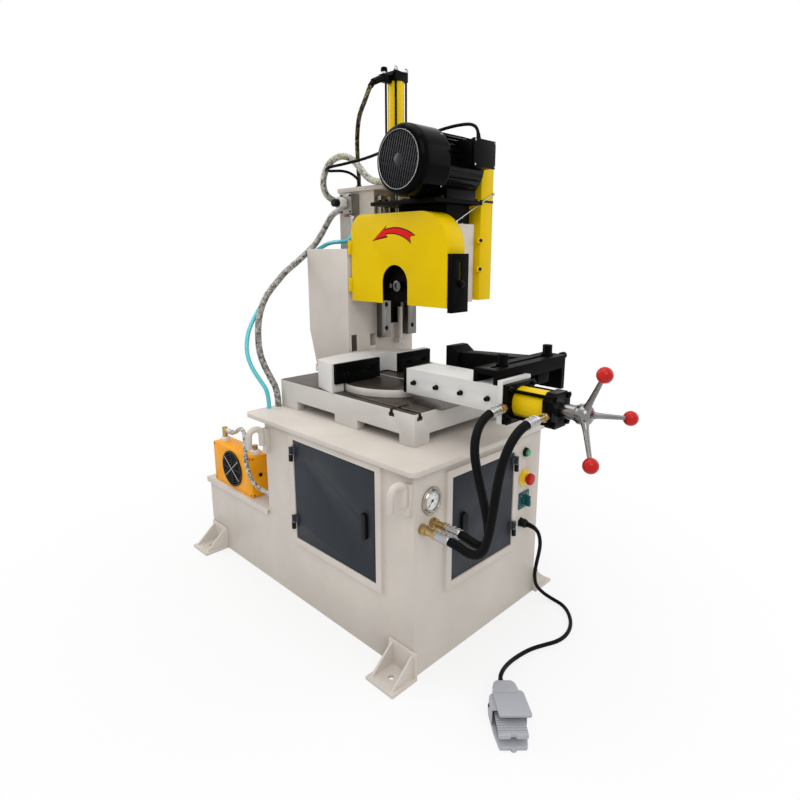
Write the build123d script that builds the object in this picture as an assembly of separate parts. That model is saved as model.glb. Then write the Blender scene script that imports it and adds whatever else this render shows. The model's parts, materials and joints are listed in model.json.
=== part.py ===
"""Pipe cutting machine: a vertical-column circular cold saw, in millimetres.

+X is the operator's right, +Y the back, +Z up. The origin lies on the floor, midway between
the four anchor holes. Every piece is built in place and written as one file in parts."""

import math
import os

from build123d import *

os.makedirs("parts", exist_ok=True)

# Main sizes of the whole machine
MACHINE_LEN = 1189.0   # front of the cabinet to the back of the tank
MACHINE_H = 1847.0     # floor to the tips of the feed cylinder's tie rods

# Fits used everywhere
RUN_FIT = 0.05      # radial clearance of a running shaft
SLIDE_GAP = 0.3     # gap between faces that slide past each other

# Cabinet, tank and tray
CAB_HALF = 310.0
CAB_FRONT = -584.0
CAB_BACK = 150.0
TANK_BACK = CAB_FRONT + MACHINE_LEN
TANK_TOP = 280.0
SHEET = 4.0
TRAY_TOP = 636.0
TRAY_HALF = 328.0
TRAY_FRONT = -600.0
TRAY_BACK = 253.0
TRAY_SKIRT = 16.0
TRAY_CORNER = 25.0
LID_OVER = 10.0

# Floor brackets and lifting hooks
ANCHOR_X = 360.0
ANCHOR_Y = TANK_BACK - 62.0
ANCHOR_R = 9.0
BRACKET_REACH = 100.0
BRACKET_LEN = 112.0
BRACKET_T = 10.0
GUSSET_T = 8.0
GUSSET_H = 88.0
HOOK_R = 11.0

# Doors: panel outline, then the frame around it
LEFT_DOOR_Y = (-436.0, -35.0)
LEFT_DOOR_Z = (244.0, 594.0)
FRONT_DOOR_X = (-159.0, 143.0)
FRONT_DOOR_Z = (252.0, 574.0)
DOOR_T = 6.0
DOOR_OFF = 1.0
DOOR_GAP = 2.0
FRAME_PROUD = 10.0
FRAME_W = 23.0
OPENING_LIP = 6.0
HINGE_R = 6.0
HINGE_OUT = 7.0
HINGE_PIN_R = 3.0
KNUCKLE = 25.0
LATCH_Y = -392.0
LATCH_X = -110.0
LATCH_Z = 413.0
LATCH_R = 9.0
LATCH_W = 24.0
LATCH_H = 82.0
LATCH_T = 12.0
CAM_LEN = 44.0

# Controls on the front of the cabinet
START_XZ = (220.0, 554.0)
ESTOP_XZ = (220.0, 464.0)
SELECT_XZ = (221.0, 385.0)
GLAND_XZ = (210.0, 306.0)
GAUGE_XZ = (-241.0, 530.0)
PORT_A_XZ = (-236.0, 463.0)
PORT_B_XZ = (-280.0, 459.0)
BUTTON_R = 11.0
STEM_R = 10.0
BEZEL_R = 15.0
ESTOP_RING_R = 30.0
ESTOP_R = 20.0
SELECT_PLATE = 58.0
GAUGE_R = 40.0
DIAL_R = 27.0
GLAND_R = 13.0
PORT_R = 13.0
PORT_OUT = 56.0

# Table and turntable
TABLE_X = (-182.0, 310.0)
TABLE_Y = (-459.0, 235.0)
TABLE_TOP = 738.0
TABLE_WALL = 32.0
TABLE_DECK = 38.0
CUT_H = 31.0
SLOT_W = 14.0
SLOT_T_W = 24.0
SLOT_X = -155.0
SLOT_Y = -363.0
SWIVEL_X = 56.0
SWIVEL_Y = -140.0
DISC_R = 194.0
DISC_TOP = 765.0
PIVOT_R = 30.0
TONGUE_X = (-10.0, 178.0)
BASE_X = (0.0, 345.0)
BASE_Y = (45.0, 262.0)
KERF_W = 8.0

# Fixed jaws
JAW_FACE_Y = -95.0
JAW_T = 12.0
JAW_BOTTOM = 768.0
JAW_TOP = 838.0
JAW_LEFT = (-178.0, 20.0)
JAW_RIGHT = (115.0, 284.0)
NOTCH_BACK_Y = -31.0
FOOT_CLEAR_R = 200.0
BLOCK_ARC_R = 178.0

# Vice slide, clamp and handwheel
VICE_X = -24.0
SLIDE_HALF = 64.0
SLIDE_Y = (-686.0, -336.0)
BED_TOP = 768.0
SLIDE_H = 78.0
SLIDE_TOP = BED_TOP + SLIDE_H
BED_Y = (-540.0, -372.0)
RIB_HALF = 32.0
RIB_H = 20.0
CLAMP_Z = 797.0
NUT_Y = (-400.0, -372.0)
NUT_HALF = 20.0
NUT_TOP = 814.0
SCREW_R = 12.0
SCREW_END_Y = -371.0
MOVING_JAW_T = 14.0
FRONT_WALL_T = 16.0
CYL_PLATE_T = 16.0
CYL_PLATE = 130.0
CYL_PLATE_H = 110.0
CLAMP_R = 44.0
CLAMP_BORE = 36.0
CLAMP_LEN = 88.0
CAP_SIZE = 96.0
CAP_LEN = 44.0
CAP_CUT = 20.0
TIE_R = 5.0
TIE_AT = 36.0
PISTON_ROD_R = 20.0
PISTON_OUT = 35.0
HUB_R = 27.0
HUB_LEN = 52.0
HUB_GAP = 5.0
ARM_R = 7.0
BALL_R = 20.0
BALL_RING = 127.0
BALL_LEAN = 50.0
BAR_X = (-88.0, 274.0)
BAR_Y = (-680.0, -599.0)
BAR_TOP = SLIDE_TOP + 28.0
BAR_T = 16.0
BAR_LEG = 12.0
BAR_SLOT = 17.0
ARM_X = (130.0, 190.0)
JAW2_X = (116.0, 201.0)
JAW2_TOP = BAR_TOP + 19.0
BOLT_R = 8.0

# Column and its feed cylinder
COL_X = (140.0, 340.0)
COL_Y = (58.0, 258.0)
COL_TOP = 1421.0
COL_WALL = 10.0
TOP_PLATE_T = 16.0
COVER_X = 7.0
COVER_BACK = 300.0
COVER_TOP = 1211.0
COVER_T = 3.0
RAIL_W = 45.0
RAIL_T = 30.0
RAIL_IN = 7.0
RAIL_Z = (880.0, COL_TOP - 21.0)
COL_SLOT_X = (206.0, 276.0)
COL_SLOT_Z = (1060.0, COL_TOP - 41.0)
FEED_X = 240.0
FEED_Y = 43.0
FEED_R = 30.0
FEED_BORE = 25.0
FEED_CAP_H = 38.0
TIE_OUT = 14.0
FEED_Z = (COL_TOP + TOP_PLATE_T + FEED_CAP_H, MACHINE_H - TIE_OUT - FEED_CAP_H)
FEED_CAP = 70.0
FEED_TIE_AT = 29.0
FEED_TIE_R = 4.5
ROD_R = 11.0
VALVE_Y = (140.0, 205.0)
VALVE_Z = (1340.0, 1412.0)
VALVE_W = 40.0
KNOB_Y = 185.0
KNOB_Z = 1378.0

# Saw head
GUARD_X = (14.0, 97.0)
GUARD_Y = (-408.0, 42.0)
GUARD_Z = (1029.0, 1325.0)
GUARD_T = 3.0
GUARD_FRONT_R = 115.0
GUARD_REAR_R = 60.0
GUARD_HINGE = (9.0, 47.0)
GUARD_KNUCKLE_R = 5.0
GUARD_PIN_R = 2.5
ARCH_Y = -178.0
ARCH_Z = 1098.0
ARCH_R = 60.0
SPINDLE_Y = -175.0
SPINDLE_Z = 1088.0
SPINDLE_R = 20.0
FLANGE_R = 54.0
FLANGE_X = (44.0, 72.0)
BOX_X = (99.0, 252.0)
BOX_Y = (-330.0, -12.0)
BOX_Z = (1033.0, 1290.0)
BOX_WALL = 11.0
CARRIAGE_X = (128.0, 353.0)
CARRIAGE_Z = (1045.0, 1330.0)
GIB_BACK = 50.0
MODULE = 2.5
GEAR_TEETH = 36
PINION_TEETH = 18
GEAR_W = 30.0
INPUT_R = 12.0
MOTOR_Y = -284.0
MOTOR_Z = 1468.0
MOTOR_R = 92.0
FIN_R = 98.0
FIN_COUNT = 30
MOTOR_X = (45.0, 228.0)
COWL_X = -72.0
COWL_R = 105.0
SHAFT_R = 14.0
MOTOR_PLATE_X = (0.0, 230.0)
MOTOR_PLATE_Y = (-371.0, -79.0)
MOTOR_PLATE_Z = (1349.0, 1361.0)
TERMINAL_X = (103.0, 207.0)
TERMINAL_FRONT = -429.0
TERMINAL_Z = (1454.0, 1531.0)
COVER_BOX_X = (256.0, 321.0)
COVER_BOX_Y = (-345.0, -75.0)
COVER_BOX_Z = (1038.0, 1525.0)
COVER_BOX_T = 3.0
COVER_BOX_R = 45.0
PULLEY_X = (264.0, 304.0)
MOTOR_PULLEY_R = 40.0
INPUT_PULLEY_R = 75.0
BELT_T = 6.0
SPACER_Z = (1075.0, 1245.0)
SKIRT_DEEP = 18.0
SKIRT_T = 4.0
SKIRT_Z = (1015.0, 1195.0)
SKIRT_SLOT = 69.0
SKIRT_SCREW_Z = 1104.0
SKIRT_SCREW_R = 4.0

# Oil cooler on the tank, and the foot switch on the floor
COOLER_X = (-305.0, -230.0)
COOLER_Y = (272.0, 563.0)
COOLER_Z = 450.0
FAN_R = 65.0
FAN_HUB_R = 18.0
FOOT_AT = (-257.0, -874.0)
FOOT_TURN = -45.0
FOOT_HALF = 48.0
FOOT_LEN = 164.0

# Diameters of the hoses and cables
CLAMP_HOSE_D = 24.0
BUNDLE_D = 24.0
COOLANT_D = 16.0
LOOP_D = 24.0
FEED_HOSE_D = 16.0
MOTOR_CABLE_D = 10.0
FOOT_CORD_D = 12.5
COOLER_HOSE_D = 16.0


def block(x0, x1, y0, y1, z0, z1):
    """A box between two corners."""
    return Pos((x0 + x1) / 2, (y0 + y1) / 2, (z0 + z1) / 2) * Box(x1 - x0, y1 - y0, z1 - z0)


def rod_x(r, x0, x1, y, z):
    return Pos((x0 + x1) / 2, y, z) * Rot(0, 90, 0) * Cylinder(r, x1 - x0)


def rod_y(r, y0, y1, x, z):
    return Pos(x, (y0 + y1) / 2, z) * Rot(90, 0, 0) * Cylinder(r, y1 - y0)


def rod_z(r, z0, z1, x, y):
    return Pos(x, y, (z0 + z1) / 2) * Cylinder(r, z1 - z0)


def prism_x(face, x0, x1):
    """A face drawn in Y and Z, pushed along X."""
    return extrude(Plane.YZ.offset(x0) * face, x1 - x0)


def prism_y(face, y0, y1):
    """A face drawn in X and Z, pushed along Y."""
    return extrude(Plane.XZ.offset(-y1) * face, y1 - y0)


def prism_z(face, z0, z1):
    """A face drawn in X and Y, pushed along Z."""
    return extrude(Plane.XY.offset(z0) * face, z1 - z0)


def polygon(*points):
    return make_face(Polyline(*points, close=True))


def save(name, *shapes):
    """Writes the solids of one piece, or of one group of like pieces."""
    solids = [solid for shape in shapes for solid in shape.solids()]
    whole = solids[0] if len(solids) == 1 else Compound(solids)
    export_step(whole, "parts/" + name + ".step")
    print(name, len(solids), "solids", round(sum(s.volume for s in solids) / 1000), "cm3")


def cord(name, points, dia):
    """A round cord: straight runs joined by tangent arcs."""
    at = [Vector(*p) for p in points]
    runs = [b - a for a, b in zip(at, at[1:])]
    turns = [a.get_angle(b) for a, b in zip(runs, runs[1:])]
    shorter = [min(a.length, b.length) for a, b in zip(runs, runs[1:])]
    radii = [0.45 * s / math.tan(math.radians(t) / 2) for s, t in zip(shorter, turns)]
    path = FilletPolyline(*points, radius=radii)
    tube = sweep(Plane(at[0], z_dir=runs[0]) * Circle(dia / 2), path=path)
    wanted = math.pi * dia**2 / 4 * path.length
    print(name, "least radius", round(min(radii)), "in diameters", round(min(radii) / dia, 1))
    print(name, "largest turn", round(max(turns)), "volume share", round(tube.volume / wanted, 3))
    print(name, "runs", [round(r.length) for r in runs])
    return tube


# Cabinet: a sheet box, the tank behind it, two framed door openings and the panel holes
PANEL_HOLE_R = 11.3
GAUGE_BODY_R = 30.0
door_face_x = -CAB_HALF - DOOR_OFF - DOOR_T
door_face_y = CAB_FRONT - DOOR_OFF - DOOR_T


def grown(span, by):
    """A span made longer at both ends; a negative amount makes it shorter."""
    return (span[0] - by, span[1] + by)


cabinet = block(-CAB_HALF, CAB_HALF, CAB_FRONT, CAB_BACK, 0, TRAY_TOP - SHEET)
cabinet += block(-CAB_HALF, CAB_HALF, CAB_BACK, TANK_BACK, 0, TANK_TOP)
inner = CAB_HALF - SHEET
cabinet -= block(-inner, inner, CAB_FRONT + SHEET, CAB_BACK - SHEET, SHEET, TRAY_TOP)
cabinet -= block(-inner, inner, CAB_BACK, TANK_BACK - SHEET, SHEET, TRAY_TOP)
for reach, side in ((FRAME_W + DOOR_GAP, 1), (DOOR_GAP, -1)):
    ring_y = grown(LEFT_DOOR_Y, reach)
    ring_z = grown(LEFT_DOOR_Z, reach)
    left_ring = block(-CAB_HALF - FRAME_PROUD, -CAB_HALF, *ring_y, *ring_z)
    ring_x = grown(FRONT_DOOR_X, reach)
    ring_z = grown(FRONT_DOOR_Z, reach)
    front_ring = block(*ring_x, CAB_FRONT - FRAME_PROUD, CAB_FRONT, *ring_z)
    cabinet = cabinet + left_ring + front_ring if side > 0 else cabinet - left_ring - front_ring
left_gap = (*grown(LEFT_DOOR_Y, -OPENING_LIP), *grown(LEFT_DOOR_Z, -OPENING_LIP))
cabinet -= block(-CAB_HALF - 1, -inner + 1, *left_gap)
front_z = grown(FRONT_DOOR_Z, -OPENING_LIP)
cabinet -= block(*grown(FRONT_DOOR_X, -OPENING_LIP), CAB_FRONT - 1, CAB_FRONT + SHEET + 1, *front_z)
for x, z in (START_XZ, ESTOP_XZ, SELECT_XZ):
    cabinet -= rod_y(PANEL_HOLE_R, CAB_FRONT - 1, CAB_FRONT + SHEET + 1, x, z)
cabinet -= rod_y(GAUGE_BODY_R + SLIDE_GAP, CAB_FRONT - 1, CAB_FRONT + SHEET + 1, *GAUGE_XZ)

# Door hinges: each pin stands in a knuckle on the frame and runs in a knuckle on the door
left_axis = (-CAB_HALF - FRAME_PROUD - HINGE_OUT, LEFT_DOOR_Y[1] + 2 * DOOR_GAP)
front_axis = (FRONT_DOOR_X[1] + 2 * DOOR_GAP, CAB_FRONT - FRAME_PROUD - HINGE_OUT)
LEAF = 17.0
left_door = block(door_face_x, door_face_x + DOOR_T, *LEFT_DOOR_Y, *LEFT_DOOR_Z)
front_door = block(*FRONT_DOOR_X, door_face_y, door_face_y + DOOR_T, *FRONT_DOOR_Z)
for z in (LEFT_DOOR_Z[0] + 61, LEFT_DOOR_Z[1] - 46):
    low = (z - KNUCKLE, z - SLIDE_GAP / 2)
    high = (z + SLIDE_GAP / 2, z + KNUCKLE)
    ax, ay = left_axis
    cabinet += rod_z(HINGE_R, *low, *left_axis)
    leaf_x = -CAB_HALF - FRAME_PROUD
    cabinet += block(ax + 2, leaf_x, ay + 4, ay + 4 + LEAF, *low)
    cabinet += rod_z(HINGE_PIN_R, low[0], high[1], *left_axis)
    left_door += block(ax + 2, door_face_x, LEFT_DOOR_Y[1] - LEAF, LEFT_DOOR_Y[1], *high)
    left_door += rod_z(HINGE_R, *high, *left_axis)
    left_door -= rod_z(HINGE_PIN_R + RUN_FIT, *high, *left_axis)
for z in (FRONT_DOOR_Z[0] + 59, FRONT_DOOR_Z[1] - 37):
    low = (z - KNUCKLE, z - SLIDE_GAP / 2)
    high = (z + SLIDE_GAP / 2, z + KNUCKLE)
    ax, ay = front_axis
    cabinet += rod_z(HINGE_R, *low, *front_axis)
    cabinet += block(ax + 4, ax + 4 + LEAF, ay + 2, CAB_FRONT - FRAME_PROUD, *low)
    cabinet += rod_z(HINGE_PIN_R, low[0], high[1], *front_axis)
    front_door += block(FRONT_DOOR_X[1] - LEAF, FRONT_DOOR_X[1], ay + 2, door_face_y, *high)
    front_door += rod_z(HINGE_R, *high, *front_axis)
    front_door -= rod_z(HINGE_PIN_R + RUN_FIT, *high, *front_axis)
save("cabinet", cabinet)

# Latches: a lever outside, a round boss through the door and a cam inside the wall
CAM_GAP = 1.5
CAM_T = 4.0
left_door -= rod_x(LATCH_R + RUN_FIT, door_face_x - 1, -CAB_HALF, LATCH_Y, LATCH_Z)
front_door -= rod_y(LATCH_R + RUN_FIT, door_face_y - 1, CAB_FRONT, LATCH_X, LATCH_Z)
save("left_door", left_door)
save("front_door", front_door)
lever_z = (LATCH_Z - LATCH_H / 2, LATCH_Z + LATCH_H / 2)
cam_z = (LATCH_Z - LATCH_R, LATCH_Z + CAM_LEN)
lever_x = door_face_x - SLIDE_GAP
cam_x = -inner + CAM_GAP
half = LATCH_W / 2
left_latch = block(lever_x - LATCH_T, lever_x, LATCH_Y - half, LATCH_Y + half, *lever_z)
left_latch = fillet(left_latch.edges().filter_by(Axis.X), half * 0.8)
left_latch += rod_x(LATCH_R, lever_x, cam_x, LATCH_Y, LATCH_Z)
left_latch += block(cam_x, cam_x + CAM_T, LATCH_Y - LATCH_R, LATCH_Y + LATCH_R, *cam_z)
save("left_latch", left_latch)
lever_y = door_face_y - SLIDE_GAP
cam_y = CAB_FRONT + SHEET + CAM_GAP
front_latch = block(LATCH_X - half, LATCH_X + half, lever_y - LATCH_T, lever_y, *lever_z)
front_latch = fillet(front_latch.edges().filter_by(Axis.Y), half * 0.8)
front_latch += rod_y(LATCH_R, lever_y, cam_y, LATCH_X, LATCH_Z)
front_latch += block(LATCH_X - LATCH_R, LATCH_X + LATCH_R, cam_y, cam_y + CAM_T, *cam_z)
save("front_latch", front_latch)

# Tank lid with a turned-down lip, and the chip tray with its skirt
lid_half = CAB_HALF + LID_OVER
lid_back = TANK_BACK + LID_OVER
LID_LIP = 18.0
lid_top = TANK_TOP + SHEET
tank_lid = block(-lid_half, lid_half, CAB_BACK, lid_back, TANK_TOP - LID_LIP, lid_top)
lip = lid_half - SHEET
tank_lid -= block(-lip, lip, CAB_BACK - 1, lid_back - SHEET, TANK_TOP - LID_LIP - 1, TANK_TOP)
save("tank_lid", tank_lid)
tray_mid = Pos(0, (TRAY_FRONT + TRAY_BACK) / 2)
tray_face = tray_mid * RectangleRounded(2 * TRAY_HALF, TRAY_BACK - TRAY_FRONT, TRAY_CORNER)
chip_tray = prism_z(tray_face, TRAY_TOP - TRAY_SKIRT, TRAY_TOP)
chip_tray -= prism_z(offset(tray_face, -SHEET), TRAY_TOP - TRAY_SKIRT - 1, TRAY_TOP - SHEET)
save("chip_tray", chip_tray)

# Floor brackets: a drilled foot, a back plate and two gussets, the same at all four corners
foot_y = (ANCHOR_Y - BRACKET_LEN / 2, ANCHOR_Y + BRACKET_LEN / 2)
bracket = block(CAB_HALF, CAB_HALF + BRACKET_REACH, *foot_y, 0, BRACKET_T)
bracket += block(CAB_HALF, CAB_HALF + GUSSET_T, *foot_y, BRACKET_T, GUSSET_H)
tip = CAB_HALF + BRACKET_REACH - 10
gusset = polygon((CAB_HALF, BRACKET_T), (tip, BRACKET_T), (CAB_HALF, GUSSET_H))
for y in (foot_y[0] + 10, foot_y[1] - 10 - GUSSET_T):
    bracket += prism_y(gusset, y, y + GUSSET_T)
bracket -= rod_z(ANCHOR_R, -1, BRACKET_T + 1, ANCHOR_X, ANCHOR_Y)
right_pair = [bracket, mirror(bracket, Plane.XZ)]
save("floor_brackets", *right_pair, *[mirror(b, Plane.YZ) for b in right_pair])

# Lifting hooks: a bar bent over and down, standing out from an upright strip, two each side
HOOK_LEFT_Y = (-570.0, 134.0)
HOOK_RIGHT_Y = (-440.0, 134.0)
HOOK_STRIP = 16.0
HOOK_STRIP_HALF = 11.0
HOOK_STRIP_Z = (508.0, 598.0)
HOOK_WELD = 3.0
HOOK_ROOT, HOOK_HIGH, HOOK_TIP = 540.0, 602.0, 537.0
HOOK_SPAN = 48.0
HOOK_SPLAY = 4.0
root_x = -CAB_HALF - HOOK_STRIP - HOOK_R + HOOK_WELD
tip_x = root_x - HOOK_SPAN
hook_bend = HOOK_SPAN / 2 - 1
hooks = []


def hook(y):
    route = [(root_x, y, HOOK_ROOT), (root_x, y, HOOK_HIGH)]
    route += [(tip_x, y, HOOK_HIGH), (tip_x - HOOK_SPLAY, y, HOOK_TIP)]
    bar = sweep(Plane.XY.offset(HOOK_ROOT) * Pos(root_x, y) * Circle(HOOK_R),
                path=FilletPolyline(*route, radius=hook_bend))
    strip_y = (y - HOOK_STRIP_HALF, y + HOOK_STRIP_HALF)
    bar += block(-CAB_HALF - HOOK_STRIP, -CAB_HALF, *strip_y, *HOOK_STRIP_Z)
    return bar


for y in HOOK_LEFT_Y:
    hooks.append(hook(y))
for y in HOOK_RIGHT_Y:
    hooks.append(mirror(hook(y), Plane.YZ))
save("lifting_hooks", *hooks)

# Controls: bezels, rings and contact blocks stay on the panel; caps, knobs and needle move
BEZEL_T = 10.0
RING_T = 4.0
COLLAR_T = 9.0
BLOCK_HALF = 16.0
BLOCK_LEN = 34.0
BUTTON_STROKE = 4.0
ESTOP_STROKE = 5.0
SELECT_STEM_R = 7.0
back_of_wall = CAB_FRONT + SHEET


def contact_block(x, z, bore):
    """The switch body behind the panel, bored for its stem."""
    body = block(x - BLOCK_HALF, x + BLOCK_HALF, back_of_wall, back_of_wall + BLOCK_LEN,
                 z - BLOCK_HALF, z + BLOCK_HALF)
    return body - rod_y(bore, back_of_wall, back_of_wall + BLOCK_LEN, x, z)


sx, sz = START_XZ
bezel = rod_y(BEZEL_R, CAB_FRONT - BEZEL_T, CAB_FRONT, sx, sz)
bezel -= rod_y(BUTTON_R + RUN_FIT, CAB_FRONT - BEZEL_T, CAB_FRONT, sx, sz)
ex, ez = ESTOP_XZ
ring = rod_y(ESTOP_RING_R, CAB_FRONT - RING_T, CAB_FRONT, ex, ez)
ring += rod_y(ESTOP_R - 4, CAB_FRONT - RING_T - COLLAR_T, CAB_FRONT - RING_T, ex, ez)
ring -= rod_y(STEM_R + RUN_FIT, CAB_FRONT - RING_T - COLLAR_T, CAB_FRONT, ex, ez)
kx, kz = SELECT_XZ
half = SELECT_PLATE / 2
plate = block(kx - half, kx + half, CAB_FRONT - RING_T, CAB_FRONT, kz - half, kz + half)
plate -= rod_y(SELECT_STEM_R + RUN_FIT, CAB_FRONT - RING_T, CAB_FRONT, kx, kz)
GLAND_OUT = 28.0
gland = rod_y(GLAND_R, CAB_FRONT - GLAND_OUT, CAB_FRONT, *GLAND_XZ)
gland += prism_y(Pos(*GLAND_XZ) * RegularPolygon(GLAND_R + 4, 6), CAB_FRONT - 10, CAB_FRONT)
GAUGE_T = 8.0
DIAL_DEEP = 5.0
NEEDLE_SHAFT_R = 1.5
gx, gz = GAUGE_XZ
gauge = rod_y(GAUGE_R, CAB_FRONT - GAUGE_T, CAB_FRONT, gx, gz)
gauge += rod_y(GAUGE_BODY_R, CAB_FRONT, CAB_FRONT + 40, gx, gz)
dial_y = CAB_FRONT - GAUGE_T + DIAL_DEEP
gauge -= rod_y(DIAL_R, CAB_FRONT - GAUGE_T, dial_y, gx, gz)
gauge -= rod_y(NEEDLE_SHAFT_R + RUN_FIT, dial_y, dial_y + 8, gx, gz)
blocks = [contact_block(sx, sz, STEM_R), contact_block(ex, ez, STEM_R + 1)]
blocks.append(contact_block(kx, kz, SELECT_STEM_R + 1))
save("panel_fittings", bezel, ring, plate, gland, gauge, *blocks)

CAP_OUT = 16.0
cap_end = CAB_FRONT - BUTTON_STROKE
start = rod_y(BUTTON_R, CAB_FRONT - CAP_OUT, cap_end, sx, sz)
start += rod_y(STEM_R - 2, cap_end, CAB_FRONT + 30, sx, sz)
save("start_button", start)
head_back = CAB_FRONT - RING_T - COLLAR_T - ESTOP_STROKE - 1
estop = rod_y(ESTOP_R, head_back - 15, head_back, ex, ez)
estop = fillet(estop.edges().sort_by(Axis.Y)[0], 5)
estop += rod_y(STEM_R, head_back, CAB_FRONT + 25, ex, ez)
save("estop_button", estop)
knob_back = CAB_FRONT - RING_T - SLIDE_GAP
knob = rod_y(17, knob_back - 8, knob_back, kx, kz)
knob += block(kx - 6, kx + 6, knob_back - 24, knob_back - 8, kz - 17, kz + 17)
knob += rod_y(SELECT_STEM_R, knob_back, CAB_FRONT + 30, kx, kz)
save("selector_knob", knob)
NEEDLE_ZERO = -135.0
needle = Pos(gx, 0, gz) * Rot(0, NEEDLE_ZERO, 0) * block(-1.2, 1.2, dial_y - 2.5, dial_y - 1.5, -6, 22)
needle += rod_y(4, dial_y - 3.5, dial_y - SLIDE_GAP, gx, gz)
needle += rod_y(NEEDLE_SHAFT_R, dial_y - SLIDE_GAP, dial_y + 7, gx, gz)
save("gauge_needle", needle)

# Brass fittings: two hose ports on the panel, an elbow and a plugged port on the oil cooler, and the
# port in the cabinet's back wall that the cooler's hose runs to
PORT_HEX = 20.0
TAIL_R = 9.5
ELBOW_Y = 530.0
ELBOW_RISE = 44.0
ELBOW_REACH = 30.0
PLUG_Y = 300.0
PLUG_RISE = 34.0
WALL_PORT_XZ = (-290.0, 330.0)
WALL_PORT_OUT = 14.0
cooler_mid = (COOLER_X[0] + COOLER_X[1]) / 2
brass = []
for x, z in (PORT_A_XZ, PORT_B_XZ):
    port = prism_y(Pos(x, z) * RegularPolygon(PORT_R + 2, 6), CAB_FRONT - PORT_HEX, CAB_FRONT)
    port += rod_y(TAIL_R, CAB_FRONT - PORT_OUT, CAB_FRONT - PORT_HEX, x, z)
    brass.append(port)
arm_z = COOLER_Z + ELBOW_RISE
elbow_end = ELBOW_Y - ELBOW_REACH
elbow = prism_z(Pos(cooler_mid, ELBOW_Y) * RegularPolygon(PORT_R, 6), COOLER_Z, COOLER_Z + 12)
elbow += rod_z(TAIL_R + 1, COOLER_Z, arm_z + TAIL_R + 2, cooler_mid, ELBOW_Y)
elbow += rod_y(TAIL_R - 1, elbow_end, ELBOW_Y, cooler_mid, arm_z)
brass.append(elbow)
plug = prism_z(Pos(cooler_mid, PLUG_Y) * RegularPolygon(PORT_R, 6), COOLER_Z, COOLER_Z + 12)
plug += rod_z(TAIL_R - 1, COOLER_Z, COOLER_Z + PLUG_RISE, cooler_mid, PLUG_Y)
plug_top = Pos(cooler_mid, PLUG_Y) * RegularPolygon(PORT_R - 1, 6)
brass.append(plug + prism_z(plug_top, COOLER_Z + PLUG_RISE - 12, COOLER_Z + PLUG_RISE))
wall_end = CAB_BACK + WALL_PORT_OUT
wall_port = prism_y(Pos(*WALL_PORT_XZ) * RegularPolygon(PORT_R, 6), CAB_BACK, CAB_BACK + 8)
brass.append(wall_port + rod_y(TAIL_R - 1, CAB_BACK, wall_end, *WALL_PORT_XZ))
save("brass_fittings", *brass)

# Inside the cabinet: the hydraulic pump set on the floor, the electrics on the right wall
power = block(30, 230, -220, 60, SHEET, 24)
power += rod_y(70, -60, 150 - 2 * SHEET - 20, 130, 104)
power += rod_y(45, -190, -60, 130, 104)
power += block(90, 170, -40, 40, 24, 60)
power += block(90, 170, -175, -100, 24, 80)
save("power_unit", power)
electrics = block(inner - 5, inner, -470, -110, 130, 560)
for y in range(-440, -170, 75):
    electrics += block(inner - 75, inner - 5, y, y + 55, 400, 490)
electrics += block(inner - 95, inner - 5, -420, -240, 180, 320)
save("electrics_plate", electrics)

# Table casting: a deep frame open below, with T-slots in its top and the swivel bore
deck = TABLE_TOP - TABLE_DECK
table = block(*TABLE_X, *TABLE_Y, TRAY_TOP, TABLE_TOP)
table = fillet(table.edges().filter_by(Axis.Z), 6)
table -= block(*grown(TABLE_X, -TABLE_WALL), *grown(TABLE_Y, -TABLE_WALL), TRAY_TOP, deck)
wide_x = grown(TABLE_X, 1)
wide_y = grown(TABLE_Y, 1)
for cut_y in ((-397.0, -203.0), (-85.0, 132.0)):
    table -= block(*wide_x, *cut_y, TRAY_TOP, TRAY_TOP + CUT_H)
table -= block(-113.0, 228.0, *wide_y, TRAY_TOP, TRAY_TOP + CUT_H)
SLOT_NECK = 12.0
SLOT_HEAD = 12.0
for width, low, high in ((SLOT_W, SLOT_NECK, 0), (SLOT_T_W, SLOT_NECK + SLOT_HEAD, SLOT_NECK)):
    slot_z = (TABLE_TOP - low, TABLE_TOP - high)
    table -= block(SLOT_X - width / 2, SLOT_X + width / 2, TABLE_Y[0], -120, *slot_z)
    table -= block(TABLE_X[0], -100, SLOT_Y - width / 2, SLOT_Y + width / 2, *slot_z)
table -= rod_z(PIVOT_R + RUN_FIT, deck - 1, TABLE_TOP + 1, SWIVEL_X, SWIVEL_Y)
save("table_casting", table)

# Turntable: the disc on its pivot, with a tongue back to the foot of the column
disc_low = TABLE_TOP + SLIDE_GAP
turntable = rod_z(DISC_R, disc_low, DISC_TOP, SWIVEL_X, SWIVEL_Y)
turntable += block(*TONGUE_X, -40, BASE_Y[0] + 15, disc_low, DISC_TOP)
turntable += block(*BASE_X, *BASE_Y, disc_low, DISC_TOP)
turntable += rod_z(PIVOT_R, deck + 3, disc_low, SWIVEL_X, SWIVEL_Y)
turntable -= block(SWIVEL_X - KERF_W / 2, SWIVEL_X + KERF_W / 2, -330, 30, DISC_TOP - 10, DISC_TOP)
save("turntable", turntable)

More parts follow.
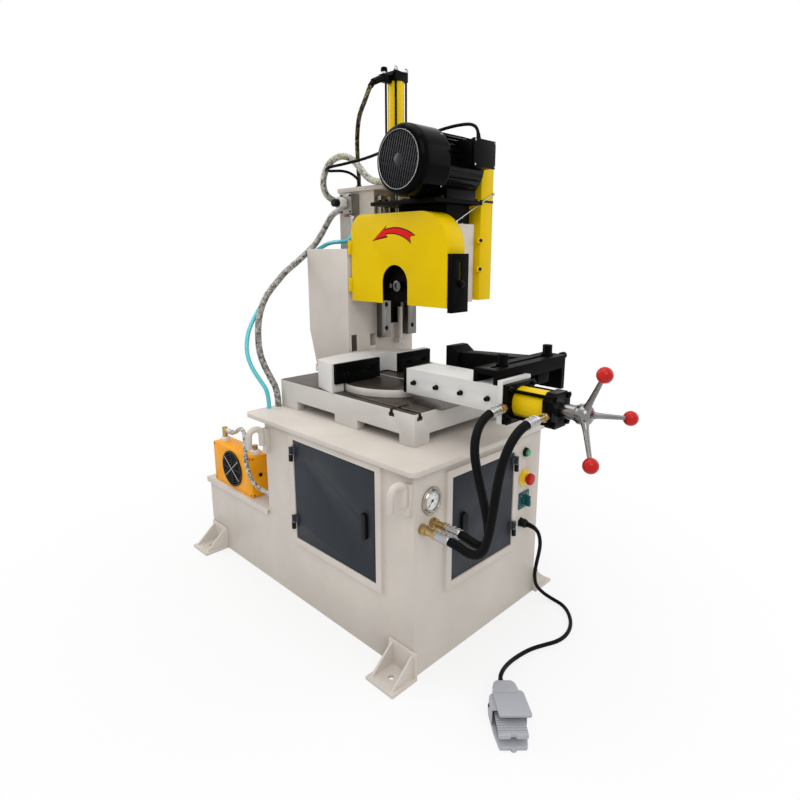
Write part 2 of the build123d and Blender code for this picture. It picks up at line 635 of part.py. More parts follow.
# Fixed jaws: a casting that bridges the disc, notched for the blade, faced with two plates
jaw_back = JAW_FACE_Y + JAW_T
STRIP = 19.0
strip_back = jaw_back + STRIP
arc_meet = SWIVEL_X + math.sqrt(BLOCK_ARC_R**2 - (strip_back - SWIVEL_Y) ** 2)
corner = (SWIVEL_X, SWIVEL_Y + BLOCK_ARC_R)
half_way = math.radians(56)
on_arc = (SWIVEL_X + BLOCK_ARC_R * math.cos(half_way), SWIVEL_Y + BLOCK_ARC_R * math.sin(half_way))
left_end = (JAW_LEFT[0] - 9, jaw_back)
left_back = (-166.0, 20.0)
outline = Line(left_end, left_back)
outline += ThreePointArc(left_back, (-54.0, 43.0), corner)
outline += ThreePointArc(corner, on_arc, (arc_meet, strip_back))
outline += Polyline((arc_meet, strip_back), (JAW_RIGHT[1], strip_back), (JAW_RIGHT[1], jaw_back),
                    (JAW_RIGHT[0], jaw_back), (JAW_RIGHT[0], NOTCH_BACK_Y),
                    (JAW_LEFT[1], NOTCH_BACK_Y), (JAW_LEFT[1], jaw_back), left_end)
jaw_face = make_face(outline.edges())
jaw_block = prism_z(jaw_face, JAW_BOTTOM, JAW_TOP)
disc_hole = Pos(SWIVEL_X, SWIVEL_Y) * Circle(FOOT_CLEAR_R)
jaw_block += prism_z(jaw_face - disc_hole, TABLE_TOP, JAW_BOTTOM)
jaw_block += block(JAW_RIGHT[1] - 32, JAW_RIGHT[1], jaw_back - 17, strip_back, TABLE_TOP, JAW_BOTTOM)
save("jaw_block", jaw_block)
plates = []
for span in (JAW_LEFT, JAW_RIGHT):
    plate = block(*span, JAW_FACE_Y, jaw_back, JAW_BOTTOM, JAW_TOP - 2)
    for share in (0.25, 0.75):
        x = span[0] + share * (span[1] - span[0])
        plate -= prism_y(Pos(x, 802) * SlotOverall(26, 11), JAW_FACE_Y, jaw_back)
    plates.append(plate)
save("fixed_jaw_plates", *plates)

# Vice bed: a plate bolted to the table, a guide rib and the nut for the vice screw
slide_x = (VICE_X - SLIDE_HALF, VICE_X + SLIDE_HALF)
BED_FRONT = -488.0
bed = block(slide_x[0] - 4, slide_x[1] + 4, BED_FRONT, BED_Y[1], TABLE_TOP, BED_TOP)
bed += block(VICE_X - RIB_HALF, VICE_X + RIB_HALF, BED_FRONT, BED_Y[1], BED_TOP, BED_TOP + RIB_H)
bed -= rod_y(SCREW_R + 1, BED_FRONT, BED_Y[1], VICE_X, CLAMP_Z)
nut = block(VICE_X - NUT_HALF, VICE_X + NUT_HALF, *NUT_Y, BED_TOP + 6, NUT_TOP)
bed += nut
bed -= rod_y(SCREW_R + RUN_FIT, *NUT_Y, VICE_X, CLAMP_Z)
save("vice_bed", bed)

# Vice slide: runs over the rib, with room inside for the nut to pass along it
CAVITY_END = 6.0
slide_low = BED_TOP + SLIDE_GAP
wall_y = (SLIDE_Y[0] - FRONT_WALL_T, SLIDE_Y[0])
slide = block(*slide_x, *SLIDE_Y, slide_low, SLIDE_TOP)
slide += block(slide_x[0] - 4, slide_x[1] + 4, *wall_y, 742, 862)
rib_room = RIB_HALF + SLIDE_GAP
rib_top = BED_TOP + RIB_H + SLIDE_GAP
slide -= block(VICE_X - rib_room, VICE_X + rib_room, *SLIDE_Y, slide_low, rib_top)
nut_room = NUT_HALF + 2
cavity_y = (-606.0, NUT_Y[1] + CAVITY_END)
slide -= block(VICE_X - nut_room, VICE_X + nut_room, *cavity_y, slide_low, NUT_TOP + 3)
slide -= rod_y(SCREW_R + 2, wall_y[0], cavity_y[0], VICE_X, CLAMP_Z)
bolt_z = BED_TOP + SLIDE_H / 2 - 2
for share in (0.097, 0.371, 0.64, 0.903):
    bolt_y = SLIDE_Y[0] + share * (SLIDE_Y[1] - SLIDE_Y[0])
    slide += prism_x(Pos(bolt_y, bolt_z) * RegularPolygon(9, 6), slide_x[0] - 9, slide_x[0])
save("vice_slide", slide)
moving_jaw = block(*slide_x, SLIDE_Y[1], SLIDE_Y[1] + MOVING_JAW_T, slide_low, SLIDE_TOP)
for x in (VICE_X - 36, VICE_X + 36):
    moving_jaw -= prism_y(Pos(x, bolt_z + 1) * SlotOverall(24, 11), SLIDE_Y[1], SLIDE_Y[1] + MOVING_JAW_T)
save("moving_jaw", moving_jaw)

# Cross bar: an inverted channel bolted on the slide, carrying the second clamping jaw
bar_low = BAR_TOP - BAR_T
bar = block(*BAR_X, *BAR_Y, SLIDE_TOP, BAR_TOP)
bar -= block(*grown(BAR_X, 1), *grown(BAR_Y, -BAR_LEG), SLIDE_TOP, bar_low)
bar_mid = (BAR_Y[0] + BAR_Y[1]) / 2
slot_mid = (BAR_X[0] + 28 + BAR_X[1] - 29) / 2
slot_face = Pos(slot_mid, bar_mid) * SlotOverall(305, BAR_SLOT)
bar -= prism_z(slot_face, bar_low, BAR_TOP)
bar += block(BAR_X[1] - 18, BAR_X[1], *BAR_Y, 778, bar_low)
bar += rod_x(5, BAR_X[1], BAR_X[1] + 8, bar_mid, 800)
bar += rod_x(11, BAR_X[1] + 8, BAR_X[1] + 28, bar_mid, 800)
jaw2_face = SLIDE_Y[1] + MOVING_JAW_T
jaw2_profile = polygon((jaw2_face, JAW_BOTTOM + 4), (jaw2_face, JAW2_TOP), (jaw2_face - 23, JAW2_TOP),
                       (jaw2_face - 50, BAR_TOP), (jaw2_face - 50, JAW_BOTTOM + 4))
second_jaw = prism_x(jaw2_profile, *JAW2_X)
arm_low = 812.0
second_jaw += block(*ARM_X, BAR_Y[1] + 0.5, jaw2_face - 50, arm_low, BAR_TOP)
second_jaw += block(*ARM_X, BAR_Y[0] + 6, BAR_Y[1] + 0.5, arm_low, SLIDE_TOP)
bolts = []
for x in (VICE_X, (ARM_X[0] + ARM_X[1]) / 2):
    bolt = rod_z(BOLT_R, SLIDE_TOP, BAR_TOP, x, bar_mid)
    bolt += rod_z(18, BAR_TOP, BAR_TOP + 4, x, bar_mid)
    bolt += prism_z(Pos(x, bar_mid) * RegularPolygon(15, 6), BAR_TOP + 4, BAR_TOP + 20)
    bolts.append(bolt)
save("cross_bar", bar, second_jaw, *bolts)

# Clamp cylinder: end plate, barrel and front cap held by tie rods, with two hose fittings
plate_y = (wall_y[0] - CYL_PLATE_T, wall_y[0])
barrel_y = (plate_y[0] - CLAMP_LEN, plate_y[0])
cap_y = (barrel_y[0] - CAP_LEN, barrel_y[0])
plate = block(VICE_X - CYL_PLATE / 2, VICE_X + CYL_PLATE / 2, *plate_y,
              CLAMP_Z - CYL_PLATE_H / 2, CLAMP_Z + CYL_PLATE_H / 2)
plate -= rod_y(SCREW_R + 2, *plate_y, VICE_X, CLAMP_Z)
barrel = rod_y(CLAMP_R, *barrel_y, VICE_X, CLAMP_Z) - rod_y(CLAMP_BORE, *barrel_y, VICE_X, CLAMP_Z)
square = Rectangle(CAP_SIZE, CAP_SIZE)
cap_face = Pos(VICE_X, CLAMP_Z) * chamfer(square.vertices(), CAP_CUT)
cap = prism_y(cap_face, *cap_y)
cap -= rod_y(PISTON_ROD_R + RUN_FIT, *cap_y, VICE_X, CLAMP_Z)
body = plate + cap
for dx in (-TIE_AT, TIE_AT):
    for dz in (-TIE_AT, TIE_AT):
        body += rod_y(TIE_R, cap_y[0] - 6, plate_y[1], VICE_X + dx, CLAMP_Z + dz)
        nut_face = Pos(VICE_X + dx, CLAMP_Z + dz) * RegularPolygon(9, 6)
        body += prism_y(nut_face, cap_y[0] - 5, cap_y[0])
FIT_A = (-112.0, -710.0, 790.0)
FIT_B = (-118.0, -828.0, 786.0)
cap_side = VICE_X - CAP_SIZE / 2
for (x, y, z), side in ((FIT_A, VICE_X - CYL_PLATE / 2), (FIT_B, cap_side)):
    body += rod_x(8, x, side + 6, y, z)
    body += prism_x(Pos(y, z) * RegularPolygon(13, 6), side - 18, side - 4)
save("clamp_cylinder", body, barrel)

# Piston with its hollow rod, and the handwheel whose screw runs through it
PISTON_Y = (-775.0, -755.0)
rod_end = cap_y[0] - PISTON_OUT
piston = rod_y(CLAMP_BORE - RUN_FIT, *PISTON_Y, VICE_X, CLAMP_Z)
piston += rod_y(PISTON_ROD_R, rod_end, PISTON_Y[0], VICE_X, CLAMP_Z)
piston -= rod_y(SCREW_R + RUN_FIT, rod_end, PISTON_Y[1], VICE_X, CLAMP_Z)
save("clamp_piston", piston)
hub_back = rod_end - HUB_GAP
wheel = rod_y(SCREW_R, hub_back, SCREW_END_Y, VICE_X, CLAMP_Z)
hub = rod_y(HUB_R, hub_back - HUB_LEN, hub_back, VICE_X, CLAMP_Z)
wheel += chamfer(hub.edges().sort_by(Axis.Y)[0], 10)
ball_y = hub_back - HUB_LEN / 2 - BALL_LEAN
balls = []
for angle in (110, -10, -130):
    out = Vector(math.cos(math.radians(angle)), 0, math.sin(math.radians(angle)))
    root = Vector(VICE_X, hub_back - HUB_LEN / 2, CLAMP_Z)
    at = Vector(VICE_X, ball_y, CLAMP_Z) + out * BALL_RING
    lean = Plane(root, z_dir=at - root)
    low = (Align.CENTER, Align.CENTER, Align.MIN)
    arm = lean * Cylinder(ARM_R, (at - root).length, align=low)
    wheel += arm
    balls.append(Pos(*at) * Sphere(BALL_R) - arm)
save("handwheel", wheel)
save("handwheel_balls", *balls)

# Column: a square tube with a slot for the feed rod, a top plate and the depth stop rod
col_in_x = grown(COL_X, -COL_WALL)
col_in_y = grown(COL_Y, -COL_WALL)
plate_top = COL_TOP + TOP_PLATE_T
column = block(*COL_X, *COL_Y, DISC_TOP, COL_TOP)
column -= block(*col_in_x, *col_in_y, DISC_TOP, COL_TOP)
column -= block(*COL_SLOT_X, COL_Y[0], col_in_y[0], *COL_SLOT_Z)
column += block(COL_X[0] - 10, COL_X[1] + 10, 0, COL_Y[1], COL_TOP, plate_top)
column -= rod_z(ROD_R + 2, COL_TOP, plate_top, FEED_X, FEED_Y)
column += block(238, 272, 28, COL_Y[0], 850, 864)
column += rod_z(9, 864, 990, 255, 42)
save("column", column)
cover_low = polygon((COL_Y[0], DISC_TOP), (BASE_Y[1], DISC_TOP), (COVER_BACK, 900),
                    (COVER_BACK, COVER_TOP), (COL_Y[0], COVER_TOP))
cover_in = polygon((COL_Y[0] + COVER_T, DISC_TOP), (BASE_Y[1] - COVER_T, DISC_TOP),
                   (COVER_BACK - COVER_T, 900), (COVER_BACK - COVER_T, COVER_TOP),
                   (COL_Y[0] + COVER_T, COVER_TOP))
column_cover = prism_x(cover_low, COVER_X, COL_X[0])
column_cover -= prism_x(cover_in, COVER_X + COVER_T, COL_X[0])
column_cover -= block(19, 46, COL_Y[0], COL_Y[0] + COVER_T, 837, 899)
column_cover -= block(112, COL_X[0], COL_Y[0], COL_Y[0] + COVER_T, 850, 895)
save("column_cover", column_cover)
rails = []
rail_y = (COL_Y[0] - RAIL_T, COL_Y[0])
for x0 in (COL_X[0] + RAIL_IN, COL_X[1] - RAIL_IN - RAIL_W):
    rail = block(x0, x0 + RAIL_W, *rail_y, *RAIL_Z)
    for step in range(6):
        hole = (x0 + RAIL_W / 2, RAIL_Z[0] + 35 + 90 * step)
        rail -= rod_y(5, *rail_y, *hole)
        rail -= rod_y(9, rail_y[0], rail_y[0] + 10, *hole)
    rails.append(rail)
save("guide_rails", *rails)

# Feed cylinder on top of the column; its rod pushes the head down
bottom_cap = block(FEED_X - FEED_CAP / 2, FEED_X + FEED_CAP / 2, FEED_Y - FEED_CAP / 2,
                   FEED_Y + FEED_CAP / 2, plate_top, FEED_Z[0])
top_cap = Pos(0, 0, FEED_Z[1] - plate_top) * bottom_cap
top_cap_z = FEED_Z[1] + FEED_CAP_H
bottom_cap -= rod_z(ROD_R + RUN_FIT, plate_top, FEED_Z[0], FEED_X, FEED_Y)
feed_barrel = rod_z(FEED_R, *FEED_Z, FEED_X, FEED_Y) - rod_z(FEED_BORE, *FEED_Z, FEED_X, FEED_Y)
caps = bottom_cap + top_cap
for dx in (-FEED_TIE_AT, FEED_TIE_AT):
    for dy in (-FEED_TIE_AT, FEED_TIE_AT):
        tie = (FEED_X + dx, FEED_Y + dy)
        caps += rod_z(FEED_TIE_R, plate_top, top_cap_z + TIE_OUT, *tie)
        caps += prism_z(Pos(*tie) * RegularPolygon(8, 6), top_cap_z, top_cap_z + 10)
FEED_FIT = (178.0, FEED_Y, FEED_Z[1] + 17)
caps += rod_x(8, FEED_FIT[0], FEED_X - FEED_CAP / 2, FEED_FIT[1], FEED_FIT[2])
save("feed_cylinder", caps, feed_barrel)
ROD_TOP = FEED_Z[1] - 60
lug_top = CARRIAGE_Z[1]
feed_rod = rod_z(ROD_R, lug_top, ROD_TOP, FEED_X, FEED_Y)
feed_rod += rod_z(FEED_BORE - RUN_FIT, ROD_TOP, ROD_TOP + 30, FEED_X, FEED_Y)
save("feed_rod", feed_rod)

# Feed valve and coolant cock on the left of the column
valve_x = COL_X[0] - VALVE_W
VALVE_HEX = 28.0
VALVE_STEM_R = 6.0
valve = block(valve_x, COL_X[0], *VALVE_Y, *VALVE_Z)
valve += prism_x(Pos(KNOB_Y, KNOB_Z) * RegularPolygon(18, 6), valve_x - VALVE_HEX, valve_x)
hex_end = valve_x - VALVE_HEX
valve -= rod_x(VALVE_STEM_R + RUN_FIT, hex_end, hex_end + 22, KNOB_Y, KNOB_Z)
COCK = (122.0, 158.0, 1300.0)
cock = rod_x(7, COCK[0] - 8, COL_X[0], COCK[1], COCK[2] + 20)
cock += rod_z(9, COCK[2], COCK[2] + 32, COCK[0], COCK[1])
cock += block(COCK[0] - 6, COCK[0] + 6, COCK[1] - 5, COCK[1] + 45, COCK[2] + 32, COCK[2] + 36)
save("valve_block", valve, cock)
valve_knob = rod_x(14, hex_end - 24, hex_end - SLIDE_GAP, KNOB_Y, KNOB_Z)
valve_knob += rod_x(VALVE_STEM_R, hex_end - SLIDE_GAP, hex_end + 20, KNOB_Y, KNOB_Z)
save("valve_knob", valve_knob)


# Gears: straight-flanked teeth, thinner at the tip than at the root
def gear_face(teeth, first_deg):
    pitch_r = MODULE * teeth / 2
    step = 360 / teeth
    corners = []
    for tooth in range(teeth):
        mid = first_deg + tooth * step
        for share, reach in ((-0.34, -1.2), (-0.12, 0.95), (0.12, 0.95), (0.34, -1.2)):
            angle = math.radians(mid + share * step)
            r = pitch_r + reach * MODULE
            corners.append((r * math.cos(angle), r * math.sin(angle)))
    return polygon(*corners)


# Gearbox and carriage: one casting that rides on the rails and houses the gear pair
INPUT_Z = SPINDLE_Z + MODULE * (GEAR_TEETH + PINION_TEETH) / 2
gear_room = MODULE * (GEAR_TEETH / 2 + 2) + 1
box_in_x = grown(BOX_X, -BOX_WALL)
gearbox = block(*BOX_X, *BOX_Y, *BOX_Z)
gearbox = fillet(gearbox.edges().filter_by(Axis.Z).sort_by(Axis.Y)[:2], 18)
pinion_top = INPUT_Z + MODULE * (PINION_TEETH / 2 + 2) + 1
gearbox -= block(*box_in_x, SPINDLE_Y - gear_room, SPINDLE_Y + gear_room,
                 SPINDLE_Z - gear_room, pinion_top)
gearbox -= rod_x(SPINDLE_R + RUN_FIT, BOX_X[0], box_in_x[1] + 8, SPINDLE_Y, SPINDLE_Z)
gearbox -= rod_x(INPUT_R + RUN_FIT, box_in_x[0] - 6, BOX_X[1], SPINDLE_Y, INPUT_Z)
rail_front = rail_y[0] - SLIDE_GAP
carriage = block(*CARRIAGE_X, BOX_Y[1], rail_front, *CARRIAGE_Z)
rail_side = (COL_X[0] + RAIL_IN - SLIDE_GAP, COL_X[1] - RAIL_IN + SLIDE_GAP)
carriage += block(CARRIAGE_X[0], rail_side[0], rail_front, GIB_BACK, *CARRIAGE_Z)
carriage += block(rail_side[1], CARRIAGE_X[1], rail_front, GIB_BACK, *CARRIAGE_Z)
carriage += block(FEED_X - 25, FEED_X + 25, rail_front, FEED_Y + 12, lug_top - 30, lug_top)
save("gearbox", gearbox + carriage)
spindle = rod_x(SPINDLE_R, FLANGE_X[1], box_in_x[1] + 7, SPINDLE_Y, SPINDLE_Z)
spindle += rod_x(FLANGE_R, *FLANGE_X, SPINDLE_Y, SPINDLE_Z)
spindle += prism_x(Pos(SPINDLE_Y, SPINDLE_Z) * RegularPolygon(15, 6), FLANGE_X[0] - 12, FLANGE_X[0])
spindle += rod_x(6, FLANGE_X[0] - 8, FLANGE_X[0], SPINDLE_Y + 38, SPINDLE_Z)
gear_x = ((BOX_X[0] + BOX_X[1] - GEAR_W) / 2, (BOX_X[0] + BOX_X[1] + GEAR_W) / 2)
spindle += prism_x(Pos(SPINDLE_Y, SPINDLE_Z) * gear_face(GEAR_TEETH, 90), *gear_x)
save("spindle", spindle)
FLANGE_T = 5.0
RIM = 4.0


def pulley(r, y, z):
    wheel = rod_x(r, *PULLEY_X, y, z)
    wheel += rod_x(r + RIM, PULLEY_X[0], PULLEY_X[0] + FLANGE_T, y, z)
    return wheel + rod_x(r + RIM, PULLEY_X[1] - FLANGE_T, PULLEY_X[1], y, z)


shaft_end = PULLEY_X[1] + 10
input_shaft = rod_x(INPUT_R, box_in_x[0] - 5, shaft_end, SPINDLE_Y, INPUT_Z)
pinion = gear_face(PINION_TEETH, -90 + 180 / PINION_TEETH)
input_shaft += prism_x(Pos(SPINDLE_Y, INPUT_Z) * pinion, gear_x[0] - 2, gear_x[1] + 2)
input_shaft += pulley(INPUT_PULLEY_R, SPINDLE_Y, INPUT_Z)
save("input_shaft", input_shaft)

# Motor: finned body on feet, fan cowl with grille slots, terminal box, rotor with fan
ROTOR_R = 55.0
ROTOR_X = (75.0, 190.0)
motor = rod_x(MOTOR_R, *MOTOR_X, MOTOR_Y, MOTOR_Z)
for n in range(FIN_COUNT):
    fin = Pos(0, MOTOR_Y, MOTOR_Z) * Rot(360 / FIN_COUNT * n, 0, 0)
    motor += fin * block(MOTOR_X[0] + 6, MOTOR_X[1] - 16, -2, 2, MOTOR_R - 4, FIN_R)
motor += rod_x(COWL_R, MOTOR_X[0], MOTOR_X[0] + 6, MOTOR_Y, MOTOR_Z)
motor += block(60, 200, MOTOR_Y - 80, MOTOR_Y + 80, MOTOR_PLATE_Z[1], MOTOR_Z - 78)
motor += block(*TERMINAL_X, TERMINAL_FRONT, MOTOR_Y - MOTOR_R + 25, *TERMINAL_Z)
LOOP_IN_X = 136.0
LOOP_IN_Y = -170.0
motor += rod_y(20, MOTOR_Y + MOTOR_R - 10, LOOP_IN_Y, LOOP_IN_X, MOTOR_Z)
motor -= rod_x(SHAFT_R + RUN_FIT, *MOTOR_X, MOTOR_Y, MOTOR_Z)
motor -= rod_x(ROTOR_R + 0.5, *grown(ROTOR_X, 3), MOTOR_Y, MOTOR_Z)
cowl = rod_x(COWL_R, COWL_X, MOTOR_X[0], MOTOR_Y, MOTOR_Z)
cowl -= rod_x(COWL_R - 3, COWL_X + 3, MOTOR_X[0], MOTOR_Y, MOTOR_Z)
spokes = Pos(MOTOR_Y, MOTOR_Z) * Rectangle(2 * COWL_R, 8)
for turn in (60, 120):
    spokes += Pos(MOTOR_Y, MOTOR_Z) * Rot(0, 0, turn) * Rectangle(2 * COWL_R, 8)
for r in range(28, 78, 10):
    ring = Pos(MOTOR_Y, MOTOR_Z) * (Circle(r + 6) - Circle(r))
    cowl -= prism_x(ring - spokes, COWL_X, COWL_X + 3)
save("motor_body", motor, cowl)
rotor = rod_x(SHAFT_R, -40, shaft_end, MOTOR_Y, MOTOR_Z) + rod_x(ROTOR_R, *ROTOR_X, MOTOR_Y, MOTOR_Z)
rotor += pulley(MOTOR_PULLEY_R, MOTOR_Y, MOTOR_Z)
rotor += rod_x(30, -40, 0, MOTOR_Y, MOTOR_Z)
for n in range(7):
    blade = Pos(0, MOTOR_Y, MOTOR_Z) * Rot(360 / 7 * n, 0, 0)
    rotor += blade * block(-38, -8, -2, 2, 25, 92)
save("motor_rotor", rotor)
motor_plate = block(*MOTOR_PLATE_X, *MOTOR_PLATE_Y, *MOTOR_PLATE_Z)
motor_plate += block(110, 225, -320, -100, BOX_Z[1], MOTOR_PLATE_Z[0])
save("motor_plate", motor_plate)

# Belt drive inside its cover
belt_r = (MOTOR_PULLEY_R + SLIDE_GAP, INPUT_PULLEY_R + SLIDE_GAP)


def loop(extra):
    top = Pos(MOTOR_Y, MOTOR_Z) * Circle(belt_r[0] + extra)
    low = Pos(SPINDLE_Y, INPUT_Z) * Circle(belt_r[1] + extra)
    return make_hull(top.edges() + low.edges())


belt = loop(BELT_T) - loop(0)
belt_x = (PULLEY_X[0] + FLANGE_T + 1, PULLEY_X[1] - FLANGE_T - 1)
BELT_W = 12.0
save("belts", prism_x(belt, belt_x[0], belt_x[0] + BELT_W), prism_x(belt, belt_x[1] - BELT_W, belt_x[1]))
cover_mid = Pos((COVER_BOX_Y[0] + COVER_BOX_Y[1]) / 2, (COVER_BOX_Z[0] + COVER_BOX_Z[1]) / 2)
cover_size = (COVER_BOX_Y[1] - COVER_BOX_Y[0], COVER_BOX_Z[1] - COVER_BOX_Z[0])
cover_face = cover_mid * Rectangle(*cover_size)
cover_face = fillet(cover_face.vertices().sort_by(Axis.Y)[-2:], COVER_BOX_R)
belt_cover = prism_x(cover_face, *COVER_BOX_X)
belt_cover -= prism_x(offset(cover_face, -COVER_BOX_T), *grown(COVER_BOX_X, -COVER_BOX_T))
wall_x = (COVER_BOX_X[0], COVER_BOX_X[0] + COVER_BOX_T)
belt_cover -= rod_x(SHAFT_R + 6, *wall_x, MOTOR_Y, MOTOR_Z)
belt_cover -= rod_x(INPUT_R + 6, *wall_x, SPINDLE_Y, INPUT_Z)
for z in SPACER_Z:
    belt_cover += rod_x(8, BOX_X[1], COVER_BOX_X[0], -300, z)
save("belt_cover", belt_cover)


# Blade guard: a shell open below and on the left, closed by a hinged door with an arch
def guard_face(inset, drop):
    low = GUARD_Z[0] - drop
    y0, y1 = grown(GUARD_Y, -inset)
    top = GUARD_Z[1] - inset
    face = polygon((y0, low), (y0, top), (y1, top), (y1, low))
    front = face.vertices().sort_by(Axis.Y)[-2:].sort_by(Axis.X)[0]
    face = fillet(front, GUARD_FRONT_R - inset)
    rear = face.vertices().sort_by(Axis.X)[-2:].sort_by(Axis.Y)[-1]
    return fillet(rear, GUARD_REAR_R - inset)


door_x = (GUARD_X[0], GUARD_X[0] + GUARD_T)
shell = prism_x(guard_face(0, 0), door_x[1], GUARD_X[1])
shell -= prism_x(guard_face(GUARD_T, 20), door_x[1], GUARD_X[1] - GUARD_T)
back_x = (GUARD_X[1] - GUARD_T, GUARD_X[1])
hub_room = FLANGE_R + 8
shell -= rod_x(hub_room, *back_x, SPINDLE_Y, SPINDLE_Z)
shell -= block(*back_x, SPINDLE_Y - hub_room, SPINDLE_Y + hub_room, GUARD_Z[0], SPINDLE_Z)
for y, z in ((-320, 1230), (-60, 1230)):
    shell += rod_x(8, GUARD_X[1], BOX_X[0], y, z)
guard_door = prism_x(guard_face(0, 0), *door_x)
guard_door -= rod_x(ARCH_R, *door_x, ARCH_Y, ARCH_Z)
guard_door -= block(*door_x, ARCH_Y - ARCH_R, ARCH_Y + ARCH_R, GUARD_Z[0], ARCH_Z)
hx, hy = GUARD_HINGE
for z in (1085, 1215):
    low = (z - 24, z - SLIDE_GAP / 2)
    high = (z + SLIDE_GAP / 2, z + 24)
    shell += rod_z(GUARD_KNUCKLE_R, *low, hx, hy)
    shell += block(hx, door_x[1] + 8, GUARD_Y[1], hy, *low)
    shell += rod_z(GUARD_PIN_R, low[0], high[1], hx, hy)
    guard_door += rod_z(GUARD_KNUCKLE_R, *high, hx, hy)
    guard_door += block(hx, door_x[1], GUARD_Y[1] - 5, hy, *high)
    guard_door -= rod_z(GUARD_PIN_R + RUN_FIT, *high, hx, hy)
skirt_face = GUARD_Y[0] - SKIRT_DEEP
skirt_mid = (door_x[1] + GUARD_X[1]) / 2
shell += rod_y(SKIRT_SCREW_R, skirt_face, GUARD_Y[0], skirt_mid, SKIRT_SCREW_Z)
shell += rod_y(SKIRT_SCREW_R + 6, skirt_face - 9, skirt_face - SLIDE_GAP, skirt_mid, SKIRT_SCREW_Z)
shell += rod_y(SKIRT_SCREW_R, skirt_face - 1, skirt_face, skirt_mid, SKIRT_SCREW_Z)
save("guard_shell", shell)
save("guard_door", guard_door)

# Front skirt of the guard: a channel that slides down on its clamp screw
skirt = block(door_x[1], GUARD_X[1], skirt_face, GUARD_Y[0] - SLIDE_GAP, *SKIRT_Z)
skirt -= block(door_x[1] + SKIRT_T, GUARD_X[1] - SKIRT_T, skirt_face + SKIRT_T, GUARD_Y[0], *SKIRT_Z)
slot_low = SKIRT_SCREW_Z - SKIRT_SCREW_R - 0.5
skirt -= block(skirt_mid - SKIRT_SCREW_R - 0.5, skirt_mid + SKIRT_SCREW_R + 0.5, skirt_face,
               skirt_face + SKIRT_T, slot_low, slot_low + SKIRT_SLOT)
save("guard_skirt", skirt)

# Oil cooler on the tank lid, with its fan in a recess behind a ring grille
fan_mid = ((COOLER_Y[0] + COOLER_Y[1]) / 2, (lid_top + COOLER_Z) / 2)
recess_x = COOLER_X[0] + 50
FAN_SHAFT_R = 4.0
case = block(*COOLER_X, *COOLER_Y, lid_top, COOLER_Z)
case = fillet(case.edges().filter_by(Axis.X), 8)
case -= rod_x(FAN_R, COOLER_X[0], recess_x, *fan_mid)
case -= rod_x(FAN_SHAFT_R + RUN_FIT, recess_x, recess_x + 12, *fan_mid)
grille_face = Circle(FAN_R + 7) - Circle(FAN_R - 1)
for r in (16, 26, 36, 46, 56):
    grille_face += Circle(r + 1.5) - Circle(r - 1.5)
for turn in (0, 45, 90, 135):
    grille_face += Rot(0, 0, turn) * (Rectangle(2 * FAN_R, 3) - Circle(15))
grille = prism_x(Pos(*fan_mid) * grille_face, COOLER_X[0] - 4, COOLER_X[0])
save("cooler_case", case, grille)
fan = rod_x(FAN_HUB_R, COOLER_X[0] + 12, recess_x - 4, *fan_mid)
fan += rod_x(FAN_SHAFT_R, recess_x - 4, recess_x + 11, *fan_mid)
for n in range(5):
    blade = Pos((COOLER_X[0] + recess_x) / 2 + 4, *fan_mid) * Rot(72 * n, 0, 0)
    fan += blade * Pos(0, 0, 38) * Rot(0, 0, 50) * Box(3, 34, 46)
save("cooler_fan", fan)

# Foot switch: a hooded pedal box standing on the floor, turned towards the operator
foot_place = Pos(FOOT_AT[0], FOOT_AT[1], 0) * Rot(0, 0, FOOT_TURN)
back = FOOT_LEN / 2
WALL = 6.0
HOOD_TOP = 66.0
PEDAL_HALF = 38.0
PEDAL_AXIS = (60.0, 38.0)
foot = block(-FOOT_HALF, FOOT_HALF, -back, back, 0, 12)
for x0 in (-FOOT_HALF, FOOT_HALF - WALL):
    foot += block(x0, x0 + WALL, -20, back, 12, HOOD_TOP)
foot += block(-FOOT_HALF, FOOT_HALF, -5, back, HOOD_TOP - WALL, HOOD_TOP)
foot += block(-FOOT_HALF, FOOT_HALF, back - WALL, back, 12, HOOD_TOP)
foot += rod_x(3, -FOOT_HALF, FOOT_HALF, *PEDAL_AXIS)
CORD_EXIT_Z = 25.0
CORD_EXIT_Y = back + 14
foot += rod_y(8, back, CORD_EXIT_Y, 0, CORD_EXIT_Z)
save("foot_switch", foot_place * foot)
pedal = block(-PEDAL_HALF, PEDAL_HALF, -78, PEDAL_AXIS[0], 34, 42)
pedal += rod_x(7, -PEDAL_HALF, PEDAL_HALF, *PEDAL_AXIS)
pedal -= rod_x(3 + RUN_FIT, -PEDAL_HALF, PEDAL_HALF, *PEDAL_AXIS)
save("foot_pedal", foot_place * pedal)

# Hoses and cables, each from the face of one fitting to the face of another
floor_z = FOOT_CORD_D / 2 + 0.5
exit_way = Vector(0, 1).rotate(Axis.Z, FOOT_TURN)
exit_at = Vector(*FOOT_AT, CORD_EXIT_Z) + exit_way * CORD_EXIT_Y
gland_y = CAB_FRONT - GLAND_OUT
GX, GZ = GLAND_XZ
foot_route = [(GX, gland_y, GZ), (GX, -646, GZ), (217, -668, 290), (233, -670, 250), (248, -656, 204),
              (252, -638, 154), (252, -626, 104), (264, -624, 60), (286, -638, 28), (304, -668, floor_z),
              (300, -712, floor_z), (272, -752, floor_z), (224, -786, floor_z), (165, -800, floor_z),
              (100, -790, floor_z), (35, -772, floor_z), (-30, -762, floor_z), (-88, -752, 9),
              (-132, -744, 17), (*(exit_at + exit_way * 38),), (*exit_at,)]
save("foot_cord", cord("foot_cord", foot_route, FOOT_CORD_D))
port_y = CAB_FRONT - PORT_OUT
AX, AZ = PORT_A_XZ
BX, BZ = PORT_B_XZ
